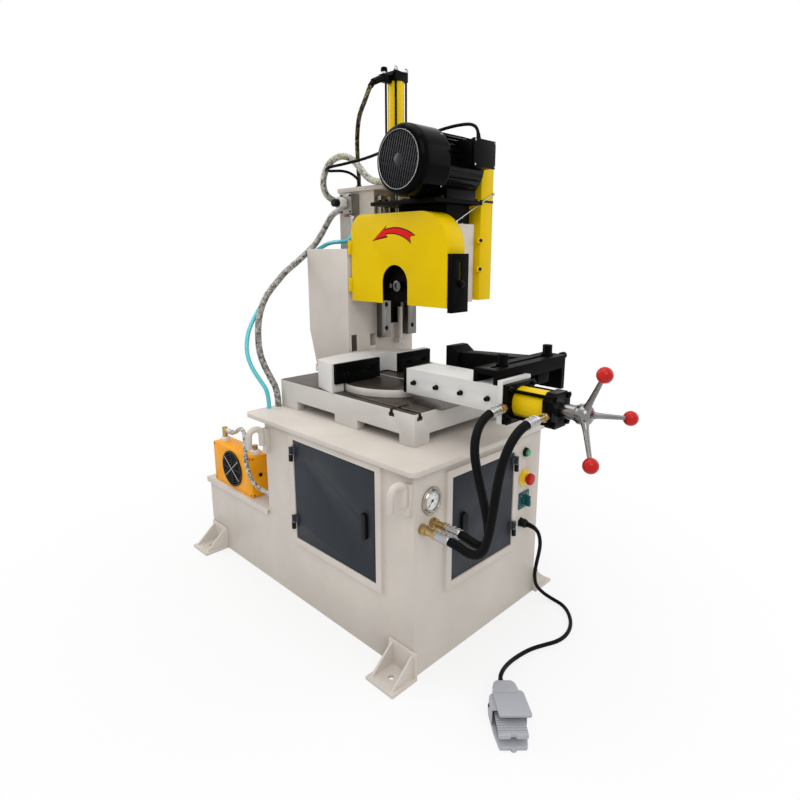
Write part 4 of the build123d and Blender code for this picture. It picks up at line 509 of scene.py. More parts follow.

# %% [markdown]

# %% [markdown]
# ## Hoses and cables
# Each hose is one smooth line from one fitting to another. A NURBS spline over the route's
# control points gives the easy sweep that a stiff hose takes. Hoses whose two ends sit on
# different moving bodies are turned into plain meshes fixed in place; the others ride on their
# one body.

# %% Routes, in metres
routes = {
    "foot_cord": [
        (0.210, -0.612, 0.306), (0.210, -0.636, 0.306), (0.214, -0.654, 0.290), (0.226, -0.656, 0.250),
        (0.239, -0.645, 0.204), (0.247, -0.632, 0.154), (0.251, -0.624, 0.104), (0.264, -0.624, 0.060),
        (0.286, -0.638, 0.028), (0.304, -0.668, 0.0075), (0.300, -0.712, 0.00675), (0.272, -0.752, 0.00675),
        (0.224, -0.788, 0.00675), (0.168, -0.805, 0.00675), (0.118, -0.801, 0.00675),
        (0.076, -0.781, 0.00675), (0.033, -0.762, 0.00675), (-0.001, -0.754, 0.00675),
        (-0.037, -0.750, 0.008), (-0.073, -0.751, 0.012), (-0.1095, -0.759, 0.020),
        (-0.137, -0.768, 0.0255), (-0.16225, -0.77925, 0.0262), (-0.18912, -0.80612, 0.025)],
    "clamp_hose_a": [
        (-0.236, -0.640, 0.463), (-0.236, -0.690, 0.463), (-0.236, -0.722, 0.456), (-0.236, -0.747, 0.452),
        (-0.237, -0.768, 0.462), (-0.238, -0.780, 0.483), (-0.239, -0.779, 0.520), (-0.241, -0.763, 0.584),
        (-0.244, -0.744, 0.650), (-0.238, -0.724, 0.710), (-0.211, -0.713, 0.760), (-0.162, -0.710, 0.790),
        (-0.112, -0.710, 0.790)],
    "clamp_hose_b": [
        (-0.280, -0.640, 0.459), (-0.280, -0.700, 0.459), (-0.280, -0.752, 0.446), (-0.278, -0.790, 0.460),
        (-0.274, -0.806, 0.512), (-0.266, -0.812, 0.588), (-0.255, -0.814, 0.655), (-0.240, -0.818, 0.713),
        (-0.212, -0.824, 0.761), (-0.166, -0.828, 0.786), (-0.118, -0.828, 0.786)],
    "main_bundle": [
        (0.118, 0.205, 1.356), (0.118, 0.246, 1.356), (0.116, 0.284, 1.336), (0.108, 0.308, 1.300),
        (0.090, 0.318, 1.264), (0.062, 0.322, 1.228), (0.014, 0.327, 1.188), (-0.030, 0.328, 1.156),
        (-0.077, 0.328, 1.126), (-0.112, 0.326, 1.094), (-0.150, 0.322, 1.062), (-0.181, 0.318, 1.027),
        (-0.205, 0.312, 0.985), (-0.220, 0.306, 0.938), (-0.228, 0.298, 0.886), (-0.231, 0.289, 0.840),
        (-0.225, 0.277, 0.796), (-0.211, 0.257, 0.745), (-0.197, 0.234, 0.697), (-0.197, 0.234, 0.636)],
    "coolant_hose": [
        (0.122, 0.158, 1.300), (0.122, 0.158, 1.266), (0.112, 0.172, 1.242), (0.095, 0.206, 1.238),
        (0.097, 0.250, 1.237), (0.094, 0.286, 1.231), (0.086, 0.312, 1.217), (0.068, 0.340, 1.199),
        (0.040, 0.354, 1.186), (0.006, 0.358, 1.170), (-0.055, 0.354, 1.133), (-0.095, 0.352, 1.097),
        (-0.135, 0.348, 1.055), (-0.176, 0.343, 1.010), (-0.212, 0.336, 0.969), (-0.243, 0.328, 0.927),
        (-0.262, 0.318, 0.890), (-0.274, 0.306, 0.848), (-0.274, 0.292, 0.808), (-0.266, 0.275, 0.772),
        (-0.252, 0.254, 0.735), (-0.238, 0.232, 0.696), (-0.238, 0.232, 0.636)],
    "top_bundle": [
        (0.140, 0.228, 1.388), (0.104, 0.228, 1.388), (0.068, 0.227, 1.396), (0.044, 0.225, 1.417),
        (0.036, 0.224, 1.449), (0.040, 0.220, 1.481), (0.050, 0.210, 1.512), (0.067, 0.192, 1.535),
        (0.087, 0.167, 1.544), (0.104, 0.141, 1.535), (0.113, 0.118, 1.513), (0.116, 0.094, 1.487),
        (0.113, 0.066, 1.465), (0.109, 0.034, 1.450), (0.107, 0.000, 1.442), (0.110, -0.040, 1.440),
        (0.122, -0.082, 1.450), (0.136, -0.126, 1.468), (0.136, -0.170, 1.468)],
    "feed_hose": [
        (0.170, 0.043, 1.797), (0.143, 0.043, 1.790), (0.116, 0.044, 1.763), (0.094, 0.047, 1.712),
        (0.076, 0.056, 1.668), (0.080, 0.072, 1.629), (0.098, 0.098, 1.589), (0.128, 0.132, 1.552),
        (0.154, 0.160, 1.515), (0.169, 0.174, 1.478), (0.171, 0.177, 1.456), (0.171, 0.177, 1.437)],
    "motor_cable": [
        (0.155, -0.407, 1.531), (0.155, -0.407, 1.560), (0.155, -0.386, 1.584), (0.150, -0.338, 1.588),
        (0.144, -0.276, 1.584), (0.136, -0.214, 1.574), (0.122, -0.152, 1.560), (0.075, -0.104, 1.537),
        (0.074, -0.056, 1.530), (0.072, -0.008, 1.522), (0.063, 0.040, 1.514), (0.049, 0.084, 1.508),
        (0.034, 0.120, 1.502), (0.022, 0.142, 1.499), (0.012, 0.162, 1.494), (0.019, 0.184, 1.489),
        (0.044, 0.194, 1.489), (0.070, 0.190, 1.492), (0.100, 0.182, 1.494), (0.127, 0.170, 1.487),
        (0.145, 0.156, 1.470), (0.149, 0.150, 1.454), (0.149, 0.150, 1.437)],
    "cooler_hose": [
        (-0.2675, 0.500, 0.494), (-0.2675, 0.466, 0.494), (-0.269, 0.432, 0.507), (-0.274, 0.398, 0.528),
        (-0.282, 0.358, 0.536), (-0.294, 0.324, 0.522), (-0.308, 0.302, 0.488), (-0.318, 0.286, 0.446),
        (-0.322, 0.268, 0.404), (-0.318, 0.246, 0.366), (-0.306, 0.222, 0.342), (-0.290, 0.196, 0.330),
        (-0.290, 0.164, 0.330)],
}
print("routes:", {name: len(points) for name, points in routes.items()})


# %% Hose curves
def hose_curve(name, points, diameter):
    """One open NURBS spline along the route, round in section."""
    curve = bpy.data.curves.new(name, "CURVE")
    curve.dimensions = "3D"
    curve.bevel_depth = diameter / 2
    curve.bevel_resolution = 5
    curve.use_fill_caps = True
    spline = curve.splines.new("NURBS")
    spline.points.add(len(points) - 1)
    for spot, point in zip(spline.points, points):
        spot.co = (*point, 1.0)
    spline.order_u = 3
    spline.use_endpoint_u = True
    spline.resolution_u = 10
    thing = bpy.data.objects.new(name, curve)
    scene.collection.objects.link(thing)
    return thing


def as_mesh(thing):
    """The mesh that a curve or a text makes; the curve or text itself goes."""
    bpy.context.view_layer.update()
    mesh = bpy.data.meshes.new_from_object(thing)
    bpy.data.objects.remove(thing)
    return mesh


def centreline(points):
    """The route's own smooth line, read from its spline with no section."""
    bare = hose_curve("route_probe", points, 0.0)
    bare.data.use_fill_caps = False
    mesh = as_mesh(bare)
    line = [v.co.copy() for v in mesh.vertices]
    bpy.data.meshes.remove(mesh)
    return line


def run_length(line):
    """How long a line of points is."""
    return sum((b - a).length for a, b in zip(line, line[1:]))


def hose(node, name, diameter, finish, slot, stiffness, lay, bodies, bend=None):
    """A hose for one CAD node; given a bend, it becomes a plain mesh fixed in place, and the bend's two
    places are not read.
    """
    points = routes[node]
    line = centreline(points)
    thing = hose_curve(name, points, diameter)
    thing.data.materials.append(finish)
    told = dict(exit=points[0], length=run_length(line), diameter=diameter, far_end="object")
    told.update(stiffness=stiffness, lay=lay)
    if bend:
        mesh = as_mesh(thing)
        mesh.name = name
        mesh.polygons.foreach_set("use_smooth", [True] * len(mesh.polygons))
        thing = bpy.data.objects.new(name, mesh)
        scene.collection.objects.link(thing)
        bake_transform(thing)
        told["path"] = [tuple(p) for p in line]
    else:
        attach(thing, bodies[0])
    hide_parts(node)
    print(name, "is", round(told["length"], 3), "m long")


vice_bend = ((-0.24, -0.74, 0.50), (-0.24, -0.74, 0.74))
swing_bend = ((-0.26, 0.25, 0.72), (-0.26, 0.25, 1.22))
loop_bend = ((0.06, 0.20, 1.45), (0.14, -0.06, 1.48))
lead_bend = ((0.06, 0.15, 1.48), (0.13, -0.16, 1.56))
on_vice, on_column, on_head = ["base", "vice_slide"], ["base", "column"], ["column", "head"]
for row in (
        ("foot_cord", "foot_cord_sheath", 0.0125, cord_rubber, "hose_rubber", "medium", "loose", ["base"]),
        ("clamp_hose_a", "clamp_hose_a_rubber", 0.024, hose_rubber, "hose_rubber", "stiff", "hanging",
         on_vice, vice_bend),
        ("clamp_hose_b", "clamp_hose_b_rubber", 0.024, hose_rubber, "hose_rubber", "stiff", "hanging",
         on_vice, vice_bend),
        ("main_bundle", "main_bundle_film", 0.024, clear_film, "film", "stiff", "hanging",
         on_column, swing_bend),
        ("coolant_hose", "coolant_hose_tube", 0.016, teal_hose, "teal_hose", "medium", "hanging",
         on_column, swing_bend),
        ("top_bundle", "top_bundle_film", 0.024, loop_film, "film", "stiff", "hanging", on_head, loop_bend),
        ("feed_hose", "feed_hose_film", 0.016, amber_film, "film", "stiff", "hanging", ["column"]),
        ("motor_cable", "motor_cable_sheath", 0.010, cord_rubber, "hose_rubber", "medium", "hanging",
         on_head, lead_bend),
        ("cooler_hose", "cooler_hose_foil", 0.016, foil_film, "foil", "stiff", "hanging", ["base"])):
    hose(*row)

# %% [markdown]
# ## Castings and sheet metal
# The frame's own solids have knife-sharp edges, which real castings, bent sheet and sprayed
# plate never have. Each one is copied, its triangles are merged back into whole faces, and a
# Bevel modifier eases every sharp edge by a millimetre or two, so that edges catch the light.


# %% Eased copies of the solids
def islands(bm):
    """The separate shells of a mesh, as lists of vertices."""
    left = set(bm.verts)
    found = []
    while left:
        front = [left.pop()]
        shell = list(front)
        while front:
            spot = front.pop()
            for edge in spot.link_edges:
                other = edge.other_vert(spot)
                if other in left:
                    left.remove(other)
                    front.append(other)
                    shell.append(other)
        found.append(shell)
    return found


def put(bm, name, finish, body, smooth=True):
    """Turns a finished bmesh into an object that rides on a body."""
    mesh = bpy.data.meshes.new(name)
    for face in bm.faces:
        face.smooth = smooth
    bm.to_mesh(mesh)
    bm.free()
    mesh.materials.append(finish)
    thing = bpy.data.objects.new(name, mesh)
    scene.collection.objects.link(thing)
    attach(thing, body)
    return thing


def ease(thing, width, steps=2, angle=35.0):
    """Rounds a piece's sharp edges."""
    round_off = thing.modifiers.new("eased_edges", "BEVEL")
    round_off.width = width
    round_off.segments = steps
    round_off.limit_method = "ANGLE"
    round_off.angle_limit = math.radians(angle)
    round_off.harden_normals = True
    return thing


node_body = {}
for body, group in frame["record"]["behaviour"]["bodies"].items():
    for node in group:
        node_body[node] = body
SAME_SPOT, SAME_PLANE = 0.000002, math.radians(0.4)


def whole_faces(bm):
    """Merges a solid's triangles back into whole flat faces."""
    bmesh.ops.dissolve_limit(bm, angle_limit=SAME_PLANE, verts=bm.verts, edges=bm.edges)


def node_copy(node):
    """A node's mesh with its shared corners joined."""
    bm = bmesh.new()
    bm.from_mesh(nodes[node].data)
    bmesh.ops.remove_doubles(bm, verts=bm.verts, dist=SAME_SPOT)
    return bm


def eased_copy(node, name, finish, width=0.0015, part=None, keep=None):
    """A copy of a node, or of its shell near a point, or of the faces to keep, with eased edges."""
    bm = node_copy(node)
    if part:
        shells = islands(bm)
        shells.sort(key=lambda shell: min((v.co - Vector(part)).length for v in shell))
        spare = [v for shell in shells[1:] for v in shell]
        bmesh.ops.delete(bm, geom=spare, context="VERTS")
    if keep:
        spare = [f for f in bm.faces if not keep(f.calc_center_median())]
        bmesh.ops.delete(bm, geom=spare, context="FACES")
    whole_faces(bm)
    thing = put(bm, name, finish, node_body[node])
    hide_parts(node)
    return ease(thing, width)


for node, finish, width in (
        ("cabinet", cream_enamel, 0.0020), ("tank_lid", cream_enamel, 0.0015),
        ("chip_tray", cream_enamel, 0.0012), ("floor_brackets", cream_enamel, 0.0015),
        ("lifting_hooks", cream_enamel, 0.0010),
        ("table_casting", planed_iron, 0.0020), ("jaw_block", white_enamel, 0.0022),
        ("fixed_jaw_plates", vice_black, 0.0010), ("vice_bed", rail_steel, 0.0010),
        ("turntable", faced_disc, 0.0015), ("column", cream_enamel, 0.0020),
        ("column_cover", cream_enamel, 0.0010), ("guide_rails", rail_steel, 0.0008),
        ("gearbox", cream_enamel, 0.0025), ("motor_plate", vice_black, 0.0012),
        ("belt_cover", guard_yellow, 0.0010), ("guard_shell", guard_yellow, 0.0009),
        ("guard_door", guard_yellow, 0.0009), ("guard_skirt", vice_black, 0.0009),
        ("vice_slide", white_enamel, 0.0018), ("moving_jaw", vice_black, 0.0012),
        ("cross_bar", vice_black, 0.0012), ("left_door", door_enamel, 0.0014),
        ("front_door", door_enamel, 0.0014),
        ("left_latch", black_plastic, 0.0020), ("front_latch", black_plastic, 0.0020),
        ("spindle", vice_black, 0.0010), ("brass_fittings", brass, 0.0006)):
    eased_copy(node, node + "_eased", finish, width)
for node, finish in (
        ("power_unit", valve_grey), ("electrics_plate", black_plastic), ("feed_rod", bright_chrome),
        ("belts", cord_rubber), ("input_shaft", rail_steel), ("motor_rotor", black_steel),
        ("clamp_piston", bright_chrome), ("cooler_fan", black_plastic)):
    nodes[node].data.materials.clear()
    nodes[node].data.materials.append(finish)

# %% [markdown]
# ## Tools for small pieces
# Most small pieces on a machine come off a lathe or out of bar stock. A turned piece is a
# profile spun about its axis; a block is a cube with bevelled edges; a screw is a turned head
# with a sunk socket. Pieces of one kind are gathered into one object.


# %% Lathe, blocks and screws
LEFT, RIGHT, FRONT, BACK, UP = (-1, 0, 0), (1, 0, 0), (0, -1, 0), (0, 1, 0), (0, 0, 1)


def spoke(degrees):
    """A direction in the plane of the machine's front, from its right side upwards."""
    turn = math.radians(degrees)
    return Vector((math.cos(turn), 0, math.sin(turn)))


def side_spoke(degrees):
    """A direction in the plane of the machine's side, from its back upwards."""
    turn = math.radians(degrees)
    return Vector((0, math.cos(turn), math.sin(turn)))


def arc(mid, wide, tall, angles):
    """Points of an ellipse round a middle, at angles in degrees."""
    turns = [math.radians(a) for a in angles]
    return [(mid[0] + wide * math.cos(t), mid[1] + tall * math.sin(t)) for t in turns]


def stand(bm, at, axis, verts):
    """Turns a shape made along Z to its axis and moves it to its place."""
    turn = Vector(UP).rotation_difference(Vector(axis)).to_matrix().to_4x4()
    bmesh.ops.transform(bm, matrix=Matrix.Translation(at) @ turn, verts=verts)


def push(bm, way):
    """Gives flat faces a thickness, by pushing a copy of them along a way."""
    raised = bmesh.ops.extrude_face_region(bm, geom=bm.faces[:])["geom"]
    corners = [v for v in raised if isinstance(v, bmesh.types.BMVert)]
    bmesh.ops.translate(bm, vec=way, verts=corners)
    bmesh.ops.recalc_face_normals(bm, faces=bm.faces)


def soften(bm, edge, steps):
    """Bevels all edges of a shape."""
    bmesh.ops.bevel(bm, geom=bm.edges[:], offset=edge, segments=steps, profile=0.5,
                    affect="EDGES", material=-1)


def turned(profile, at, axis, steps=36):
    """Spins a profile of (radius, distance along the axis) about an axis."""
    bm = bmesh.new()
    spots = [bm.verts.new((r, 0.0, t)) for r, t in profile]
    for a, b in zip(spots, spots[1:]):
        bm.edges.new((a, b))
    bmesh.ops.spin(bm, geom=bm.verts[:] + bm.edges[:], cent=(0, 0, 0), axis=(0, 0, 1),
                   angle=2 * math.pi, steps=steps, use_merge=True)
    bmesh.ops.remove_doubles(bm, verts=bm.verts, dist=0.000001)
    bmesh.ops.recalc_face_normals(bm, faces=bm.faces)
    stand(bm, at, axis, bm.verts)
    return bm


def slab(low, high, edge=0.001, steps=2):
    """A block between two corners with bevelled edges."""
    bm = bmesh.new()
    bmesh.ops.create_cube(bm, size=1.0)
    bmesh.ops.scale(bm, vec=Vector(high) - Vector(low), verts=bm.verts)
    bmesh.ops.translate(bm, vec=(Vector(low) + Vector(high)) / 2, verts=bm.verts)
    soften(bm, edge, steps)
    return bm


def nut(at, axis, across, height, edge=0.0006, spin=0.0):
    """A six-sided nut or bolt head, its corners eased."""
    bm = bmesh.new()
    bmesh.ops.create_circle(bm, cap_ends=True, segments=6, radius=across / math.sqrt(3))
    push(bm, (0, 0, height))
    soften(bm, edge, 2)
    bmesh.ops.rotate(bm, cent=(0, 0, 0), matrix=Matrix.Rotation(spin, 3, "Z"), verts=bm.verts)
    stand(bm, at, axis, bm.verts)
    return bm


def cap_screw(at, axis, r, h, steps=20):
    """A round screw head with a sunk socket."""
    floor_h = h - h * 0.55
    profile = [(0, floor_h), (0.5 * r, floor_h), (0.52 * r, h), (0.86 * r, h), (0.97 * r, h - 0.06 * r),
               (r, h - 0.16 * r), (r, 0), (0, 0)]
    return turned(profile, at, axis, steps)


def keep_flats(thing, angle=32.0):
    """Marks a piece's corners sharp, so that flat faces stay flat under smooth shading."""
    bm = bmesh.new()
    bm.from_mesh(thing.data)
    for edge in bm.edges:
        if len(edge.link_faces) == 2 and edge.calc_face_angle(0.0) > math.radians(angle):
            edge.smooth = False
    bm.to_mesh(thing.data)
    bm.free()


def gathered(name, finish, body, shapes, stands_for=None, smooth=True):
    """Joins several bmeshes into one object on one body, which may stand in for a node."""
    whole = bmesh.new()
    for shape in shapes:
        mesh = bpy.data.meshes.new("gather_probe")
        shape.to_mesh(mesh)
        shape.free()
        whole.from_mesh(mesh)
        bpy.data.meshes.remove(mesh)
    thing = put(whole, name, finish, body, smooth)
    keep_flats(thing)
    if stands_for:
        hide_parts(stands_for)


print("small-piece tools ready")

# %% [markdown]
# ## Control panel
# The right side of the cabinet's front carries a green start button in a black bezel, an
# emergency stop on its yellow disc, a teal selector switch and the foot switch's cable gland.
# The frame holds the fixed fittings as one node, so here each becomes its own turned piece.

# %% Bezel, stop ring, selector plate and gland
PANEL_Y, MARK_OUT, RIB_OUT, BOX_HALF = -0.584, 0.0245, 0.0136, 0.016
start_at, stop_at = (0.220, PANEL_Y, 0.554), (0.220, PANEL_Y, 0.464)
select_at, gland_at = (0.221, PANEL_Y, 0.385), (0.210, PANEL_Y, 0.306)
plate_at = Vector((0.221, PANEL_Y - 0.0038, 0.385))
bezel = turned([(0.0112, 0.0), (0.0152, 0.0), (0.0152, 0.005), (0.0142, 0.0085), (0.0125, 0.0100),
                (0.0113, 0.0096), (0.0112, 0.0)], start_at, FRONT)
gathered("start_bezel", black_plastic, "base", [bezel], "panel_fittings")
stop_ring = turned([(0.0102, 0.0), (0.0300, 0.0), (0.0300, 0.0032), (0.0292, 0.0040), (0.0175, 0.0044),
                    (0.0160, 0.0060), (0.0158, 0.0126), (0.0150, 0.0130), (0.0102, 0.0130),
                    (0.0102, 0.0)], stop_at, FRONT, 48)
gathered("stop_ring", yellow_plastic, "base", [stop_ring])
plate = slab((0.192, PANEL_Y - 0.004, 0.356), (0.250, PANEL_Y, 0.414), 0.0012)
plate_ring = turned([(0.0185, 0.0), (0.0225, 0.0), (0.0225, 0.0010), (0.0215, 0.0018), (0.0190, 0.0018),
                     (0.0185, 0.0)], plate_at, FRONT, 40)
gathered("selector_plate", teal_plastic, "base", [plate, plate_ring])
dot = [(0, 0), (0.0014, 0), (0.0014, 0.0006), (0, 0.0007)]
marks = [turned(dot, plate_at + spoke(turn_by) * MARK_OUT, FRONT, 12) for turn_by in (135, 90, 45)]
gathered("selector_marks", white_print, "base", marks)
gland = [turned([(0, 0), (0.0150, 0), (0.0150, 0.002), (0.0130, 0.003), (0.0130, 0.0105), (0.0138, 0.0115),
                 (0.0138, 0.021), (0.0125, 0.0245), (0.0095, 0.0275), (0.0062, 0.0282), (0, 0.0282)],
                gland_at, FRONT)]
gland.append(nut(gland_at, FRONT, 0.0300, 0.0075))
rib = [(0, 0.0125), (0.0012, 0.0125), (0.0012, 0.0205), (0, 0.0205)]
for turn_by in range(0, 360, 30):
    gland.append(turned(rib, Vector(gland_at) + spoke(turn_by) * RIB_OUT, FRONT, 8))
gathered("cord_gland", black_plastic, "base", gland)
boxes = [slab((x - BOX_HALF, -0.580, z - BOX_HALF), (x + BOX_HALF, -0.546, z + BOX_HALF), 0.0015)
         for x, _, z in (start_at, stop_at, select_at)]
gathered("switch_bodies", black_plastic, "base", boxes)
print("panel pieces made")

# %% Start button, stop mushroom and selector knob
cap = turned([(0, -0.014), (0.008, -0.014), (0.008, 0.0035), (0.0109, 0.004), (0.0109, 0.0142),
              (0.0100, 0.0156), (0.0080, 0.0160), (0.0072, 0.0154), (0, 0.0150)], start_at, FRONT)
gathered("start_cap", green_plastic, "start_button", [cap], "start_button")
mushroom = turned([(0, -0.014), (0.0098, -0.014), (0.0098, 0.0188), (0.0188, 0.0192), (0.0200, 0.0206),
                   (0.0200, 0.0265), (0.0190, 0.0310), (0.0160, 0.0333), (0.0090, 0.0340), (0, 0.0341)],
                  stop_at, FRONT, 48)
gathered("stop_mushroom", red_plastic, "estop_button", [mushroom], "estop_button")
skirt = turned([(0, -0.014), (0.0069, -0.014), (0.0069, 0.0040), (0.0172, 0.0044), (0.0172, 0.0080),
                (0.0150, 0.0122), (0.0100, 0.0126), (0, 0.0126)], select_at, FRONT, 40)
grip = slab((0.215, PANEL_Y - 0.0283, 0.3665), (0.227, PANEL_Y - 0.0110, 0.4035), 0.0032, 3)
gathered("selector_grip", teal_plastic, "selector_knob", [skirt, grip], "selector_knob")
stripe = slab((0.2203, PANEL_Y - 0.0288, 0.388), (0.2217, PANEL_Y - 0.0280, 0.401), 0.0002)
gathered("selector_pointer", white_print, "selector_knob", [stripe])
print("buttons made")

# %% [markdown]
# ## Pressure gauge
# A bright bezel with three small screws, a white dial, and a scale. The scale's marks are thin
# slips of mesh laid on the dial; plain numbers stand inside its long marks.

# %% Gauge case and dial
DIAL_DEEP, SCREW_OUT, NUMBER_OUT, NUMBER_SIZE = 0.0030, 0.0368, 0.0168, 0.0058
SCALE_START, SCALE_SWEEP, TICKS, TOP_NUMBER, REST_TURN = 225, 270, 30, 6, -135
gauge_at = Vector((-0.241, PANEL_Y, 0.530))
rim = turned([(0.0272, 0.0030), (0.0272, 0.0078), (0.0285, 0.0092), (0.0310, 0.0092), (0.0325, 0.0070),
              (0.0340, 0.0048), (0.0395, 0.0046), (0.0400, 0.0040), (0.0400, 0.0), (0.0272, 0.0),
              (0.0272, 0.0030)], gauge_at, FRONT, 56)
flange_at = gauge_at + Vector((0, -0.0045, 0))
screws = [cap_screw(flange_at + spoke(turn_by) * SCREW_OUT, FRONT, 0.0022, 0.0018, 14)
          for turn_by in (90, 210, 330)]
gathered("gauge_rim", gauge_steel, "base", [rim] + screws)
can = turned([(0, -0.040), (0.0285, -0.040), (0.0298, -0.038), (0.0298, 0.0), (0, 0.0)], gauge_at, FRONT, 40)
gathered("gauge_can", black_steel, "base", [can])
dial = turned([(0, 0.0), (0.0271, 0.0), (0.0271, DIAL_DEEP), (0, DIAL_DEEP)], gauge_at, FRONT, 48)
gathered("gauge_dial", dial_white, "base", [dial])
print("gauge case made")


# %% Scale, numbers and pointer
def lay_on_dial(bm, turn_by):
    """Turns a slip that was made upright, and lays it on the dial."""
    swing = Matrix.Rotation(math.radians(turn_by), 3, "Y")
    bmesh.ops.rotate(bm, cent=(0, 0, 0), matrix=swing, verts=bm.verts)
    bmesh.ops.translate(bm, vec=gauge_at + Vector((0, -DIAL_DEEP, 0)), verts=bm.verts)
    return bm


def number_on_dial(value, turn_by):
    """A plain number turned to mesh and laid on the dial."""
    text = bpy.data.curves.new("dial_number", "FONT")
    text.body = value
    text.size = NUMBER_SIZE
    text.align_x = "CENTER"
    text.align_y = "CENTER"
    text.extrude = 0.0001
    probe = bpy.data.objects.new("dial_number", text)
    scene.collection.objects.link(probe)
    mesh = as_mesh(probe)
    bm = bmesh.new()
    bm.from_mesh(mesh)
    bpy.data.meshes.remove(mesh)
    bmesh.ops.rotate(bm, cent=(0, 0, 0), matrix=Matrix.Rotation(math.pi / 2, 3, "X"), verts=bm.verts)
    spot = gauge_at + spoke(turn_by) * NUMBER_OUT + Vector((0, -0.0032, 0))
    bmesh.ops.translate(bm, vec=spot, verts=bm.verts)
    return bm


ticks = []
for step in range(TICKS + 1):
    half, root = (0.00022, 0.0222) if step % 5 else (0.00040, 0.0205)
    tick = slab((-half, -0.00045, root), (half, 0.0, 0.0248), 0.00005, 1)
    ticks.append(lay_on_dial(tick, 90 - SCALE_START + SCALE_SWEEP * step / TICKS))
gathered("gauge_ticks", dial_blue, "base", ticks)
numbers = [number_on_dial(str(n), SCALE_START - SCALE_SWEEP * n / TOP_NUMBER) for n in range(TOP_NUMBER + 1)]
gathered("gauge_numbers", dial_blue, "base", numbers, smooth=False)
pointer = lay_on_dial(slab((-0.0007, -0.0022, -0.007), (0.0007, -0.0014, 0.0215), 0.0003, 1), REST_TURN)
boss = turned([(0, -0.004), (0.0014, -0.004), (0.0014, 0.0035), (0.0034, 0.0036), (0.0034, 0.0056),
               (0, 0.0060)], gauge_at, FRONT, 20)
gathered("gauge_pointer", black_plastic, "gauge_needle", [pointer, boss], "gauge_needle")
print("gauge made, with", len(numbers), "numbers")

# %% [markdown]
# ## Hose ends
# Each hydraulic hose ends in a crimped steel sleeve and a brass nut. A sleeve has to follow its
# hose, so it is built from rings set square to the hose's own line and bridged together.


# %% Sleeves and nuts on the hoses
def along(line, distance):
    """The point and the direction at a distance down a line."""
    for a, b in zip(line, line[1:]):
        step = (b - a).length
        if distance <= step:
            return a + (b - a) * (distance / step), (b - a).normalized()
        distance -= step
    return line[-1].copy(), (line[-1] - line[-2]).normalized()


def sleeve(line, profile, sides=28):
    """A tube round a line; the profile lists (distance, radius) and may double back."""
    bm = bmesh.new()
    rings = []
    for distance, r in profile:
        spot, way = along(line, distance)
        ring = bmesh.ops.create_circle(bm, cap_ends=False, segments=sides, radius=r)["verts"]
        stand(bm, spot, way, ring)
        rings.append(ring)
    for low, high in zip(rings, rings[1:]):
        edges = [e for v in low for e in v.link_edges if set(e.verts) <= set(low)]
        edges += [e for v in high for e in v.link_edges if set(e.verts) <= set(high)]
        bmesh.ops.bridge_loops(bm, edges=list(set(edges)))
    bmesh.ops.recalc_face_normals(bm, faces=bm.faces)
    return bm


def crimp(hose_r, length, grooves=3):
    """The profile of a crimped sleeve: a plain tube with pressed rings."""
    r, lip, pressed, bore = hose_r + 0.0022, hose_r + 0.0014, hose_r + 0.0010, hose_r * 0.9
    profile = [(0.0, bore), (0.0, lip), (0.0012, r)]
    for n in range(grooves):
        at = length * (0.24 + 0.62 * n / (grooves - 1))
        profile += [(at - 0.0030, r), (at - 0.0020, pressed), (at + 0.0020, pressed), (at + 0.0030, r)]
    return profile + [(length - 0.0012, r), (length, lip), (length, bore)]


CLAMP_HOSE_R, OIL_HOSE_R, NUT_BACK = 0.012, 0.008, 0.0186
ferrules = {"base": [], "vice_slide": []}
nuts = {"base": [], "vice_slide": []}
for node, casting_x in (("clamp_hose_a", -0.089), ("clamp_hose_b", -0.072)):
    line = centreline(routes[node])
    ferrules["base"].append(sleeve(line, crimp(CLAMP_HOSE_R, 0.046)))
    ferrules["vice_slide"].append(sleeve(line[::-1], crimp(CLAMP_HOSE_R, 0.044)))
    port = line[0]
    nuts["base"].append(nut(port + Vector((0, 0.0005, 0)), BACK, 0.0265, 0.0120))
    nuts["base"].append(nut(port + Vector((0, 0.040, 0)), BACK, 0.0272, 0.0145))
    pipe = [(0.0080, 0), (0.0112, 0), (0.0112, 0.030), (0.0080, 0.030)]
    nuts["base"].append(turned(pipe, port + Vector((0, 0.012, 0)), BACK))
    x, y, z = routes[node][-1]
    nuts["vice_slide"].append(nut((casting_x - NUT_BACK, y, z), RIGHT, 0.0240, 0.0152))
    spigot = [(0.0070, -0.001), (0.0096, 0), (0.0096, casting_x - x), (0.0070, casting_x - x)]
    nuts["vice_slide"].append(turned(spigot, (x, y, z), RIGHT))
gathered("port_ferrules", bolt_zinc, "base", ferrules["base"])
gathered("clamp_ferrules", bolt_zinc, "vice_slide", ferrules["vice_slide"])
gathered("port_nuts", brass, "base", nuts["base"])
oil_line = centreline(routes["cooler_hose"])
oil_ends = [sleeve(line, crimp(OIL_HOSE_R, 0.034)) for line in (oil_line, oil_line[::-1])]
gathered("cooler_ferrules", bolt_zinc, "base", oil_ends)
gathered("clamp_nuts", brass, "vice_slide", nuts["vice_slide"])

# %% [markdown]
# ## Cable entries
# The foot switch's cord leaves both of its ends through a soft tapered boot, which keeps the
# cord from kinking, and so does the motor's cable at the motor. A boot is a sleeve with rings
# cut into it.


# %% Strain reliefs
def boot(hose_r, length, root):
    """The profile of a tapered rubber boot with five flex grooves."""
    tip, bore = hose_r + 0.0009, hose_r * 0.9
    profile = [(0.0, bore), (0.0, root)]
    for n in range(5):
        at = length * (0.18 + 0.15 * n)
        r = root + (tip - root) * (at / length)
        profile += [(at, r), (at + 0.0012, r - 0.0009), (at + 0.0024, r - 0.0009), (at + 0.0034, r - 0.0002)]
    return profile + [(length, tip), (length, bore)]


